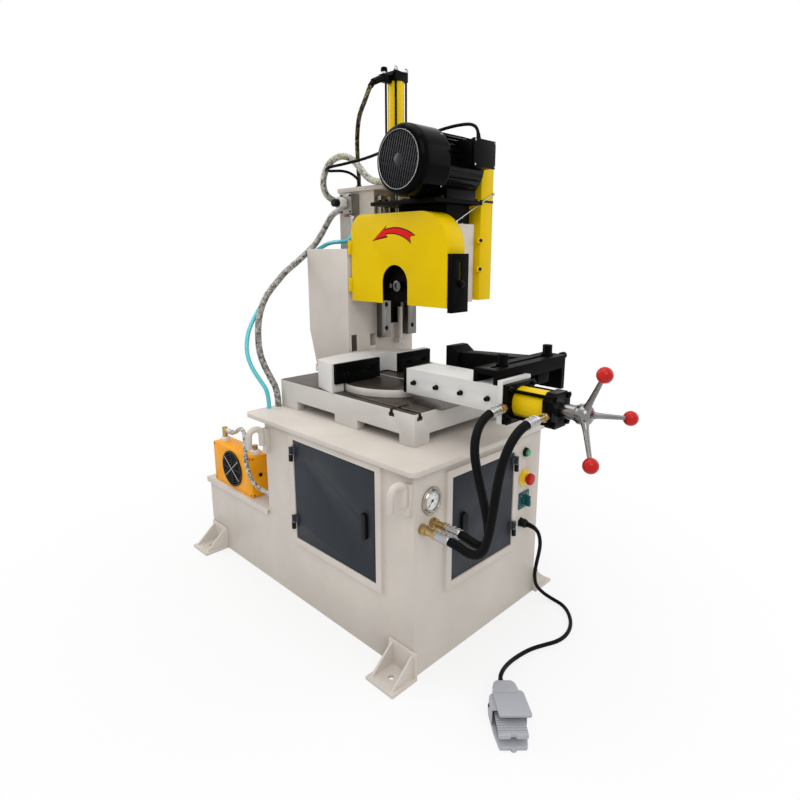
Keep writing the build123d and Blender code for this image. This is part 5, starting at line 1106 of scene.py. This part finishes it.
CORD_R, LEAD_R = 0.00625, 0.005
cord_line = centreline(routes["foot_cord"])
lead_line = centreline(routes["motor_cable"])
for name, body, line, profile in (
        ("cord_boot_panel", "base", cord_line, boot(CORD_R, 0.032, 0.0092)),
        ("cord_boot_switch", "base", cord_line[::-1], boot(CORD_R, 0.034, 0.0105)),
        ("motor_lead_boot", "head", lead_line, boot(LEAD_R, 0.024, 0.0085))):
    gathered(name, cord_rubber, body, [sleeve(line, profile)])
print("boots made")

# %% [markdown]
# ## Vice and clamp
# The clamp cylinder is black end castings round a yellow barrel, so its node is parted into two
# pieces, and its front cap is trimmed. Black screws in washers sit on the slide's side in place
# of the solid's bosses, and both jaws get black screws.

# %% Clamp cylinder
VICE_X, CLAMP_Z, NEAR = -0.024, 0.797, 0.001
CAP_FRONT, CAP_BACK, CAP_SLIM = -0.850, -0.806, 0.90
FRONT_TRIM, BACK_TRIM = 0.007, 0.008
ends = eased_copy("clamp_cylinder", "clamp_ends_eased", gloss_black, 0.0016,
                  (VICE_X, CAP_FRONT, CLAMP_Z + 0.048))
for vert in ends.data.vertices:
    if vert.co.y < CAP_FRONT + NEAR:
        vert.co.y += FRONT_TRIM
    elif abs(vert.co.y - CAP_BACK) < NEAR:
        vert.co.y -= BACK_TRIM
    if vert.co.y < CAP_BACK and vert.co.x > VICE_X:
        vert.co.x = VICE_X + CAP_SLIM * (vert.co.x - VICE_X)
tube = eased_copy("clamp_cylinder", "clamp_barrel_eased", barrel_yellow, 0.0008,
                  (VICE_X - 0.044, -0.762, CLAMP_Z))
for vert in tube.data.vertices:
    vert.co.y -= BACK_TRIM if abs(vert.co.y - CAP_BACK) < NEAR else 0.0
print("clamp cylinder parted")

# %% Screws of the vice
SIDE_X, SIDE_FLAT, BOSS_X, BOSS_R, SIDE_Z = -0.088, -0.0878, -0.0884, 0.013, 0.805
SLIDE_FRONT, SLIDE_RUN = -0.686, 0.350
slide = scene.objects["vice_slide_eased"]
for vert in slide.data.vertices:
    if vert.co.x < BOSS_X and abs(vert.co.z - SIDE_Z) < BOSS_R:
        vert.co.x = SIDE_FLAT
screws, washers = [], []
for share in (0.097, 0.371, 0.640, 0.903):
    y = SLIDE_FRONT + SLIDE_RUN * share
    screws.append(cap_screw((SIDE_X - 0.004, y, SIDE_Z), LEFT, 0.0062, 0.0085))
    ring = [(0, 0), (0.0078, 0), (0.0078, 0.0034), (0.0072, 0.0040), (0, 0.0040)]
    washers.append(turned(ring, (SIDE_X, y, SIDE_Z), LEFT, 28))
gathered("slide_screws", black_steel, "vice_slide", screws + washers)
corner_screws = [cap_screw((VICE_X + dx, -0.718, CLAMP_Z + dz), FRONT, 0.0070, 0.0075)
                 for dx in (-0.056, 0.056) for dz in (-0.045, 0.045)]
gathered("clamp_plate_screws", black_steel, "vice_slide", corner_screws)
jaw_screws = [cap_screw((VICE_X + dx, -0.3295, 0.806), BACK, 0.0052, 0.0050) for dx in (-0.036, 0.036)]
gathered("moving_jaw_screws", black_steel, "vice_slide", jaw_screws)
plate_screws = []
for low, high in ((-0.178, 0.020), (0.115, 0.284)):
    for share in (0.25, 0.75):
        plate_screws.append(cap_screw((low + share * (high - low), -0.0860, 0.802), FRONT, 0.0052, 0.0050))
gathered("fixed_jaw_screws", black_steel, "base", plate_screws)
print("vice screws:", len(screws) + len(corner_screws) + len(jaw_screws) + len(plate_screws))

# %% Cross bar
BAR_FRONT, BAR_BACK, BAR_MID = -0.681, -0.598, -0.6395
SLIDE_TOP, BAR_TOP, BAR_LIFT, HEAD_LIFT = 0.846, 0.874, 0.012, 0.012
BOLT_R, STUD_R, STUD_ROOT, STUD_TIP, STUD_Z = 0.0187, 0.0115, 0.2735, 0.2750, 0.800
STUD_UP, STUD_OUT = 0.072, 0.034
bolt_moves = ((-0.024, 0.017), (0.160, 0.071))
bar = scene.objects["cross_bar_eased"]
for vert in bar.data.vertices:
    for bolt_x, move in bolt_moves:
        if math.hypot(vert.co.x - bolt_x, vert.co.y - BAR_MID) < BOLT_R and vert.co.z > SLIDE_TOP - NEAR:
            vert.co.x += move
            break
    if BAR_FRONT < vert.co.y < BAR_BACK and vert.co.z > SLIDE_TOP + 0.004:
        vert.co.z += BAR_LIFT + (HEAD_LIFT if vert.co.z > BAR_TOP + 0.010 else 0.0)
    if vert.co.x > STUD_ROOT and max(abs(vert.co.z - STUD_Z), abs(vert.co.y - BAR_MID)) < STUD_R:
        vert.co.z += STUD_UP
        vert.co.x += STUD_OUT if vert.co.x > STUD_TIP else 0.0
print("cross bar raised by", BAR_LIFT)

# %% Handwheel
THREADS, PITCH, CREST, ROOT = 54, 0.0094, 0.0119, 0.0106
BALL_R, BALL_OUT, BALL_FORWARD = 0.020, 0.127, 0.069
hub_at = Vector((VICE_X, -0.886, CLAMP_Z))
arm_root = hub_at + Vector((0, -0.020, 0))
hub = turned([(0, 0.0370), (0.0058, 0.0370), (0.0058, 0.0400), (0.0200, 0.0400), (0.0225, 0.0385),
              (0.0262, 0.0320), (0.0270, 0.0290), (0.0270, 0.0100), (0.0262, 0.0085), (0.0228, 0.0080),
              (0.0220, 0.0040), (0.0220, 0.0), (0.0122, 0.0), (0, 0.0)], hub_at, FRONT, 48)
shaft_steps = [(0, -0.001), (0.0112, -0.001)]
for n in range(THREADS):
    for r, t in ((CREST, 0.0040), (CREST, 0.0070), (ROOT, 0.0085), (ROOT, 0.0115)):
        shaft_steps.append((r, -t - PITCH * n))
shaft_steps += [(CREST, -0.5145), (CREST, -0.5150), (0, -0.5150)]
shaft = turned(shaft_steps, hub_at, FRONT, 24)
ball = [(0.0, -0.0186), (0.0074, -0.0186)] + arc((0, 0), BALL_R, BALL_R, range(-64, 90, 7)) + [(0, BALL_R)]
arms, balls = [], []
for turn_by in (110, -10, -130):
    knob = arm_root + Vector((0, -BALL_FORWARD, 0)) + spoke(turn_by) * BALL_OUT
    reach, way = (knob - arm_root).length, (knob - arm_root).normalized()
    arm = [(0, 0.012), (0.0098, 0.018), (0.0098, 0.034), (0.0086, 0.037), (0.0074, 0.060)]
    arm += [(0.0060, reach - 0.030), (0.0060, reach - 0.012), (0, reach - 0.012)]
    arms.append(turned(arm, arm_root, way, 24))
    balls.append(turned(ball, knob, way, 36))
gathered("wheel_hub_and_arms", bright_chrome, "handwheel", [hub, shaft] + arms, "handwheel")
gathered("wheel_balls", red_plastic, "handwheel", balls, "handwheel_balls")
print("handwheel with", len(balls), "balls")

# %% [markdown]
# ## Motor
# The motor's finned frame keeps its solid. Its fan cowl is spun anew with the wide rounded rim
# that pressed steel has, and the grille is a set of slanted slats inside a bright ring. The black
# slats are coloured mid grey, a painted highlight along their edges.

# %% Motor frame and cowl
MOTOR_Y, MOTOR_Z, COWL_X = -0.284, 1.468, 0.045
COWL_R, GRILLE_R, SLAT_R, SLAT_LEAN = 0.105, 0.084, 0.0834, 16
cowl_at = Vector((COWL_X, MOTOR_Y, MOTOR_Z))
eased_copy("motor_body", "motor_frame_eased", gloss_black, 0.0012, keep=lambda at: at.x > COWL_X + 0.0005)
rim = arc((GRILLE_R, 0.089), COWL_R - GRILLE_R, 0.028, range(0, 91, 10))
inside = [(r - 0.003, t - 0.002) for r, t in reversed(rim[:-1])]
cowl_profile = [(COWL_R, 0.0), (COWL_R, 0.045), (COWL_R, 0.075)] + rim
cowl_profile += [(GRILLE_R - 0.0012, 0.1165), (GRILLE_R - 0.0012, 0.1120)] + inside
cowl_profile += [(COWL_R - 0.003, 0.0), (COWL_R, 0.0)]
cowl = turned(cowl_profile, cowl_at, LEFT, 72)
gathered("fan_cowl", cowl_black, "head", [cowl], "motor_body")
slats = []
for n in range(-8, 9):
    off = n * 0.0097
    reach = math.sqrt(SLAT_R ** 2 - off ** 2)
    slats.append(slab((-0.0700, off - 0.0021, -reach), (-0.0660, off + 0.0021, reach), 0.0008, 2))
for n in range(-3, 4):
    off = n * 0.0215
    reach = math.sqrt(SLAT_R ** 2 - off ** 2)
    slats.append(slab((-0.0682, -reach, off - 0.0011), (-0.0655, reach, off + 0.0011), 0.0005, 1))
lean = Matrix.Rotation(math.radians(SLAT_LEAN), 3, "X")
for slat in slats:
    bmesh.ops.rotate(slat, cent=(0, 0, 0), matrix=lean, verts=slat.verts)
    bmesh.ops.translate(slat, vec=(0, MOTOR_Y, MOTOR_Z), verts=slat.verts)
centre_cap = turned([(0, 0.1105), (0.0185, 0.1105), (0.0185, 0.1150), (0.0165, 0.1162), (0, 0.1164)],
                    cowl_at, LEFT, 32)
# the slats carry the mid grey painted highlight
gathered("fan_grille", grille_painted_highlight, "head", slats + [centre_cap])
cowl_screws = []
for turn_by in (45, 135, 225, 315):
    way = side_spoke(turn_by)
    cowl_screws.append(cap_screw(Vector((0.038, MOTOR_Y, MOTOR_Z)) + way * 0.1045, way, 0.0036, 0.0022, 14))
gathered("cowl_screws", bolt_zinc, "head", cowl_screws)
wire = arc((GRILLE_R, 0.1166), 0.0009, 0.0011, range(0, 361, 40))
gathered("grille_ring", bolt_zinc, "head", [turned(wire, cowl_at, LEFT, 72)])
print("cowl made, with", len(slats), "grille bars")

# %% Terminal box and motor plate
LID_Y, PLATE_Z = -0.4335, 1.3612
lid = slab((0.1005, LID_Y, 1.4515), (0.2095, -0.4240, 1.5335), 0.0025, 3)
lid_screws = [cap_screw((x, LID_Y, z), FRONT, 0.0032, 0.0018, 14)
              for x in (0.107, 0.203) for z in (1.458, 1.527)]
gathered("terminal_lid", cowl_black, "head", [lid])
gathered("terminal_screws", bolt_zinc, "head", lid_screws)
feet_bolts = [nut((x, y, PLATE_Z), UP, 0.0130, 0.0070) for x in (0.046, 0.214) for y in (-0.355, -0.213)]
plate_bolts = [nut((x, y, PLATE_Z), UP, 0.0150, 0.0080) for x in (0.024, 0.200) for y in (-0.130, -0.100)]
gathered("motor_plate_bolts", black_steel, "head", feet_bolts + plate_bolts)
print("motor dressed")

# %% [markdown]
# ## Saw guard and belt cover
# A red arrow on the guard's door shows which way the blade turns. Its shaft is part of a ring
# that widens towards a forked tail; a black copy under it, a little larger, makes its outline.

# %% Arrow on the guard door
GUARD_FACE_X, OUTLINE = 0.014, 0.0034
ARROW_MID, ARROW_R, ARROW_STEPS = Vector((GUARD_FACE_X, -0.169, 1.1017)), 0.1668, 12
TAIL_HALF, TAPER, BARB_HALF = 0.0130, 0.0075, 0.0140
TAIL_AT, FORK_AT, NECK_AT, BARB_AT, TIP_AT = 56.0, 62.0, 102.0, 99.5, 124.0


def on_arc(angle, out):
    """A point of the door's face at an angle round the arrow's centre."""
    turn = math.radians(angle)
    return ARROW_MID + Vector((0, -math.cos(turn), math.sin(turn))) * (ARROW_R + out)


def arrow(grow, thick):
    """A curved arrow in the plane of the door; grow widens it all round."""
    more = math.degrees(grow / ARROW_R)
    outer, inner = [], []
    for step in range(ARROW_STEPS + 1):
        share = step / ARROW_STEPS
        angle = TAIL_AT - more + (NECK_AT - TAIL_AT + more) * share
        half = TAIL_HALF - TAPER * share + grow
        outer.append(on_arc(angle, half))
        inner.append(on_arc(angle, -half))
    barb = BARB_HALF + 1.6 * grow
    head = [on_arc(BARB_AT - more, barb), on_arc(TIP_AT + 2 * more, 0.0), on_arc(BARB_AT - more, -barb)]
    points = outer + head + inner[::-1] + [on_arc(FORK_AT - more, 0.0)]
    bm = bmesh.new()
    spots = [bm.verts.new((GUARD_FACE_X, p.y, p.z)) for p in points]
    edges = [bm.edges.new((a, b)) for a, b in zip(spots, spots[1:] + spots[:1])]
    bmesh.ops.triangle_fill(bm, edges=edges, use_beauty=True)
    push(bm, (-thick, 0, 0))
    return bm


gathered("arrow_outline", black_print, "guard_door", [arrow(OUTLINE, 0.0003)], smooth=False)
gathered("arrow_red", red_paint, "guard_door", [arrow(0.0, 0.0005)], smooth=False)
print("arrow laid on the door")

# %% Painted shade in the guard, flange bolts and painted shade in the column's slot
# painted shade: a thin black sheet on the inside of the guard's back wall stands in for the shade seen
# through the door's slot
SHADE_SHEET_X, SHADE_SHEET_THICK = 0.094, 0.001
guard_shade_sheet = node_copy("guard_shell")
spare = [f for f in guard_shade_sheet.faces if f.normal.x > -0.99 or abs(f.calc_center_median().x - SHADE_SHEET_X) > 0.002]
bmesh.ops.delete(guard_shade_sheet, geom=spare, context="FACES")
whole_faces(guard_shade_sheet)
push(guard_shade_sheet, (-SHADE_SHEET_THICK, 0, 0))
gathered("guard_painted_shade", vice_black, "head", [guard_shade_sheet])
flange_bolts = [cap_screw((0.0340, -0.175, 1.088), LEFT, 0.0185, 0.0090, 28)]
flange_bolts.append(cap_screw((0.0370, -0.137, 1.088), LEFT, 0.0085, 0.0050, 20))
gathered("flange_bolts", polished_black, "spindle", flange_bolts)
# painted shade: a thin black sheet between the rails stands in for the shade in the column's open slot
slot_shade_sheet = slab((0.2060, 0.0570, 0.9280), (0.2760, 0.0585, 1.0640), 0.0004, 1)
gathered("column_slot_painted_shade", vice_black, "column", [slot_shade_sheet])
print("lining laid in the guard")

# %% Guard fittings, cover tabs and stay rod
TAB_Y, TAB_HALF = -0.3480, 0.0095
pin = [(0, 0), (0.0036, 0), (0.0036, 0.0014), (0, 0.0020)]
hinge_pins = [turned(pin, (0.009, 0.047, z + 0.024), UP, 16) for z in (1.085, 1.215)]
gathered("guard_hinge_pins", bolt_zinc, "head", hinge_pins)
spacer = [(0, 0), (0.0106, 0), (0.0106, 0.0090), (0.0098, 0.0098), (0, 0.0098)]
skirt_screw = [cap_screw((0.057, -0.4352, 1.104), FRONT, 0.0072, 0.0060, 24)]
skirt_screw.append(turned(spacer, (0.057, -0.4262, 1.104), FRONT, 28))
gathered("skirt_screw", black_steel, "head", skirt_screw)
tabs, tab_bolts = [], []
for z in (1.238, 1.143):
    tabs.append(slab((0.2400, TAB_Y, z - TAB_HALF), (0.2660, -0.3440, z + TAB_HALF), 0.0012, 2))
    tab_bolts.append(cap_screw((0.2530, TAB_Y, z), FRONT, 0.0058, 0.0055, 18))
gathered("cover_tabs", guard_yellow, "head", tabs)
gathered("cover_tab_bolts", black_steel, "head", tab_bolts)
band = slab((0.2555, -0.3465, 1.3610), (0.3215, -0.3390, 1.3685), 0.0006, 1)
gathered("cover_joint", black_plastic, "head", [band])
stay_low, stay_high = Vector((0.0965, -0.370, 1.292)), Vector((0.3195, -0.346, 1.391))
stay_way, stay_len = (stay_high - stay_low).normalized(), (stay_high - stay_low).length
stay = turned([(0, 0), (0.0020, 0.001), (0.0020, stay_len - 0.001), (0, stay_len)], stay_low, stay_way, 14)
eye = [(0, -0.004), (0.0045, -0.003), (0.0045, 0.005), (0, 0.006)]
eyes = [turned(eye, spot, FRONT, 18) for spot in (stay_low, stay_high)]
post = turned([(0, 0), (0.0055, 0), (0.0055, 0.003), (0.0022, 0.004), (0.0022, 0.016), (0.0045, 0.018),
               (0.0050, 0.0215), (0.0035, 0.0250), (0, 0.0258)], (0.190, -0.316, 1.290), UP, 20)
gathered("guard_stay", bolt_zinc, "head", [stay, post] + eyes)
print("guard fittings made")

# %% [markdown]
# ## Feed cylinder and valve
# The feed cylinder shows a yellow barrel between black caps; its caps are slimmed and its top
# one is lowered a little. On the valve a white hexagon holds a black fluted knob, and the coolant
# cock has a red lever.

# %% Feed cylinder
FEED_X, FEED_Y, SLIM, CAP_DROP = 0.240, 0.043, 0.886, 0.007
CAP_LEFT, TOP_CAP_Z, TOP_FACE_Z, TIE_OFF = 0.200, 1.8, 1.825, 0.029
PORT_X, PORT_HALF, PORT_DROP, ELBOW_X = 0.2055, 0.0085, 0.0080, 0.182
caps = eased_copy("feed_cylinder", "feed_caps_eased", gloss_black, 0.0010, (0.205, 0.008, 1.833))
for vert in caps.data.vertices:
    if vert.co.x < PORT_X and abs(vert.co.y - FEED_Y) < PORT_HALF and vert.co.z > TOP_CAP_Z:
        vert.co.z -= PORT_DROP
    if vert.co.x > CAP_LEFT:
        vert.co.x = FEED_X + SLIM * (vert.co.x - FEED_X)
        vert.co.y = FEED_Y + SLIM * (vert.co.y - FEED_Y)
    if vert.co.z > TOP_FACE_Z:
        vert.co.z -= CAP_DROP
eased_copy("feed_cylinder", "feed_barrel_eased", barrel_yellow, 0.0006, (0.210, 0.043, 1.795))
elbow = [slab((0.1690, 0.0300, 1.7850), (0.2100, 0.0560, 1.8125), 0.0040, 3)]
elbow.append(nut((0.1695, FEED_Y, 1.797), LEFT, 0.0220, 0.0080))
elbow.append(turned([(0, 0), (0.0105, 0), (0.0120, 0.0030), (0.0120, 0.0100), (0.0095, 0.0140),
                     (0.0040, 0.0160), (0, 0.0162)], (ELBOW_X, FEED_Y, 1.8200), UP, 24))
elbow.append(sleeve(centreline(routes["feed_hose"]), [(0.0, 0.0070), (0.0, 0.0118), (0.044, 0.0118),
                                                      (0.046, 0.0100), (0.066, 0.0100), (0.066, 0.0070)]))
gathered("feed_elbow", gloss_black, "column", elbow)
nipple = turned([(0, 0), (0.0050, 0), (0.0050, 0.004), (0.0030, 0.006), (0.0030, 0.0115), (0.0038, 0.0130),
                 (0, 0.0142)], (0.252, FEED_Y, 1.8325 - CAP_DROP), UP, 18)
tie_nuts = [nut((FEED_X + SLIM * dx, FEED_Y + SLIM * dy, 1.8330 - CAP_DROP), UP, 0.0146, 0.0104)
            for dx in (-TIE_OFF, TIE_OFF) for dy in (-TIE_OFF, TIE_OFF)]
neck = [(0, 0), (0.0078, 0), (0.0078, 0.0110), (0, 0.0110)]
throttle = turned(neck, (ELBOW_X, FEED_Y, 1.8110), UP, 24)
gathered("feed_top_fittings", bolt_zinc, "column", [nipple, throttle] + tie_nuts)
print("feed cylinder dressed")

# %% Feed valve and coolant cock
PLATE_X, FLUTES, FLUTE_OUT = 0.1000, 14, 0.0128
knob_at = Vector((0.0717, 0.185, 1.378))
eased_copy("valve_block", "valve_plate_eased", zinc_plate, 0.0012, (0.100, 0.140, 1.340))
eased_copy("valve_block", "cock_eased", bolt_zinc, 0.0008, (0.122, 0.203, 1.334))
collar = nut((PLATE_X, 0.185, 1.378), LEFT, 0.0410, 0.0278, 0.0014, math.pi / 6)
gathered("valve_collar", white_enamel, "column", [collar])
valve_screws = [cap_screw((PLATE_X, y, z), LEFT, 0.0038, 0.0030, 14)
                for y in (0.147, 0.198) for z in (1.347, 1.405)]
gathered("valve_screws", black_steel, "column", valve_screws)
knob = [turned([(0, -0.0200), (0.0058, -0.0200), (0.0058, 0.0006), (0.0128, 0.0010), (0.0132, 0.0040),
                (0.0132, 0.0205), (0.0115, 0.0230), (0.0070, 0.0235), (0.0062, 0.0226), (0, 0.0226)],
               knob_at, LEFT, 36)]
flute = [(0, 0.0028), (0.0014, 0.0034), (0.0014, 0.0205), (0, 0.0212)]
for step in range(FLUTES):
    knob.append(turned(flute, knob_at + side_spoke(360 * step / FLUTES) * FLUTE_OUT, LEFT, 8))
gathered("valve_grip", black_plastic, "valve_knob", knob, "valve_knob")
lever = slab((0.1148, 0.1720, 1.3310), (0.1292, 0.2042, 1.3372), 0.0020, 3)
gathered("cock_lever_sleeve", red_plastic, "column", [lever])
grommets = []
for r, at, way in ((0.0078, (0.171, 0.177, 1.437), UP), (0.0048, (0.149, 0.150, 1.437), UP),
                   (0.0118, (0.140, 0.228, 1.388), LEFT)):
    lip = [(r, 0), (r + 0.0055, 0), (r + 0.0055, 0.0040), (r + 0.0030, 0.0085), (r, 0.0095)]
    grommets.append(turned(lip, at, way, 28))
gathered("column_grommets", black_plastic, "column", grommets)
print("valve dressed")

# %% [markdown]
# ## Oil cooler
# The cooler is an orange sheet case round a fan. Its grille is black wire, crossed by two bright
# stays, and both of its oil ports stand in white collars on top.

# %% Cooler
CASE_X, CASE_Y, FAN_Y, FAN_Z, FAN_R, PORTS_X = -0.305, 0.272, 0.4175, 0.367, 0.066, -0.2675
eased_copy("cooler_case", "cooler_case_eased", cooler_orange, 0.0018, (CASE_X, CASE_Y, 0.450))
eased_copy("cooler_case", "cooler_grille_eased", black_plastic, 0.0007, (-0.309, FAN_Y, 0.439))
rod = [(0, 0), (0.0016, 0.001), (0.0016, 0.131), (0, 0.132)]
stays = []
for turn_by in (38, -38):
    way = side_spoke(turn_by)
    stays.append(turned(rod, Vector((-0.3092, FAN_Y, FAN_Z)) - way * FAN_R, way, 10))
gathered("fan_stays", bolt_zinc, "base", stays)
shroud = turned([(0.0649, 0.0003), (0.0645, 0.0003), (0.0645, 0.0487), (0.0060, 0.0487), (0.0060, 0.0491),
                 (0.0649, 0.0491), (0.0649, 0.0003)], (CASE_X, FAN_Y, FAN_Z), RIGHT, 48)
gathered("fan_shroud", black_plastic, "base", [shroud])
places = [((CASE_X, y, z), LEFT) for y in (0.281, 0.554) for z in (0.294, 0.440)]
places += [((x, CASE_Y, z), FRONT) for x in (-0.297, -0.238) for z in (0.294, 0.440)]
case_screws = [cap_screw(at, way, 0.0030, 0.0016, 12) for at, way in places]
case_screws.append(cap_screw((PORTS_X, CASE_Y, 0.372), FRONT, 0.0075, 0.0040, 20))
gathered("cooler_screws", black_steel, "base", case_screws)
collar = [(0.0070, 0), (0.0185, 0), (0.0185, 0.0130), (0.0160, 0.0165), (0.0070, 0.0165)]
collars = [turned(collar, (PORTS_X, y, 0.450), UP, 32) for y in (0.300, 0.530)]
gathered("port_collars", white_print, "base", collars)
print("cooler dressed")

# %% [markdown]
# ## Foot switch
# A die-cast box on the floor: a low base, a narrow rear housing, a wide visor over the toes and
# a ribbed pedal with a notch in its front edge. All of it is modelled square to its own axes
# and then set down turned towards the operator.

# %% Foot switch
FOOT_AT, FOOT_TURN = (-0.257, -0.874, 0.0), math.radians(-45.0)
BASE_TOP, SHEET, VISOR_OFF, VISOR_LEAN = 0.012, 0.0030, 0.0085, 0.084
foot_place = Matrix.Translation(FOOT_AT) @ Matrix.Rotation(FOOT_TURN, 4, "Z")


def set_down(*shapes):
    """Moves pieces of the foot switch from their own axes to their place on the floor."""
    for bm in shapes:
        bmesh.ops.transform(bm, matrix=foot_place, verts=bm.verts)
    return shapes


def prism(points, low, high, edge, steps=3):
    """A flat outline pushed up from one height to another, with eased edges."""
    bm = bmesh.new()
    bm.faces.new([bm.verts.new((x, y, low)) for x, y in points])
    push(bm, (0, 0, high - low))
    soften(bm, edge, steps)
    return bm


def both_sides(half, middle=()):
    """An outline given for its right half, closed by its mirror."""
    return half + list(middle) + [(-x, y) for x, y in reversed(half)]


def shell(half, top, front, open_back):
    """A hollow housing over an outline, cut off square at the floor plate and in front."""
    bm = prism(both_sides(half), 0.0, top, 0.0032)
    for cut_at, keep_side in (((0, 0, BASE_TOP), UP), ((0, front, 0), BACK)):
        bmesh.ops.bisect_plane(bm, geom=bm.verts[:] + bm.edges[:] + bm.faces[:], plane_co=cut_at,
                               plane_no=keep_side, clear_inner=True)
    if open_back:
        bmesh.ops.delete(bm, geom=[f for f in bm.faces if f.normal.y > 0.98], context="FACES")
    bm.normal_update()
    bmesh.ops.solidify(bm, geom=bm.faces[:], thickness=SHEET)
    return bm


base = prism(both_sides([(0.028, 0.082), (0.044, 0.060), (0.047, 0.030), (0.043, -0.034), (0.036, -0.077),
                         (0.033, -0.082)]), 0.0, BASE_TOP, 0.0025)
boss = turned([(0, 0), (0.0080, 0), (0.0080, 0.0100), (0.0068, 0.0115), (0, 0.0120)], (0, -0.079, 0), UP, 24)
lobe = shell([(0.020, 0.082), (0.028, 0.075), (0.033, 0.060), (0.037, 0.020)], 0.0665, 0.036, False)
hood = shell([(0.033, 0.045), (0.042, 0.041), (0.0465, 0.032), (0.0465, -0.040)], 0.0580, -0.014, True)
visor = prism(both_sides([(0.030, 0.047), (0.0385, 0.044), (0.0415, 0.036), (0.0420, -0.036),
                          (0.0390, -0.040)]), 0.0560, 0.0655, 0.0026)
for vert in visor.verts:
    vert.co.x += VISOR_OFF - VISOR_LEAN * vert.co.y
stub = turned([(0, -0.006), (0.0115, -0.006), (0.0115, 0.004), (0.0100, 0.006), (0.0092, 0.0135),
               (0, 0.0140)], (0, 0.082, 0.025), BACK, 24)
pins = [cap_screw((side * 0.0475, 0.020, 0.040), (side, 0, 0), 0.0040, 0.0020, 16) for side in (-1, 1)]
housing = set_down(base, boss, lobe, hood, visor, stub)
gathered("foot_switch_shell", pedal_grey, "base", housing, "foot_switch")
gathered("foot_switch_pins", black_steel, "base", set_down(*pins))
print("foot switch housed")

# %% Ribbed pedal
RIBS, RIB_STEP, RIB_START, GROOVE_Z, RIB_Z = 9, 0.0080, -0.0696, 0.0392, 0.0420
PEDAL_HALF, NECK_Y, NECK_SLIM = 0.0375, 0.030, 0.70
tread = [(0.060, 0.0340), (0.0320, 0.0340), (0.0220, 0.0340), (-0.0700, 0.0340), (-0.0700, GROOVE_Z)]
for n in range(RIBS):
    at = RIB_START + n * RIB_STEP
    tread += [(at, GROOVE_Z), (at + 0.0010, RIB_Z), (at + 0.0052, RIB_Z), (at + 0.0062, GROOVE_Z)]
tread += [(0.0040, 0.0410), (0.0220, 0.0410), (0.0320, 0.0410), (0.060, 0.0410)]
pedal = bmesh.new()
pedal.faces.new([pedal.verts.new((-PEDAL_HALF, y, z)) for y, z in tread])
push(pedal, (2 * PEDAL_HALF, 0, 0))
for vert in pedal.verts:
    vert.co.x *= NECK_SLIM if vert.co.y > NECK_Y else 1.0
notch = arc((0, -0.0790), 0.0085, 0.0075, range(10, 171, 20))
toe_half = [(0.0375, -0.0690), (0.0375, -0.0765), (0.0350, -0.0785), (0.0110, -0.0785)]
toe = prism(both_sides(toe_half, notch), 0.0310, 0.0416, 0.0007, 2)
axle = turned([(0, 0), (0.0068, 0), (0.0068, 0.0530), (0, 0.0530)], (-0.0265, 0.060, 0.038), RIGHT, 24)
gathered("ribbed_pedal", pedal_grey, "foot_pedal", set_down(pedal, toe, axle), "foot_pedal")
print("pedal made with", RIBS, "ribs")

# %% [markdown]
# ## Door hinges
# Short black sleeves cover the pins of both doors' hinges.

# %% Hinges
HINGE_DROP = 0.0254
barrel = [(0.0031, 0.0), (0.0070, 0.0), (0.0070, 0.0232), (0.0064, 0.0242), (0.0031, 0.0242)]
hinge_covers = []
for axis, heights in (((-0.327, -0.031), (0.305, 0.548)), ((0.147, -0.601), (0.311, 0.537))):
    for z in heights:
        hinge_covers.append(turned(barrel, (*axis, z - HINGE_DROP), UP, 24))
gathered("hinge_sleeves", black_plastic, "base", hinge_covers)
print("hinge sleeves:", len(hinge_covers))
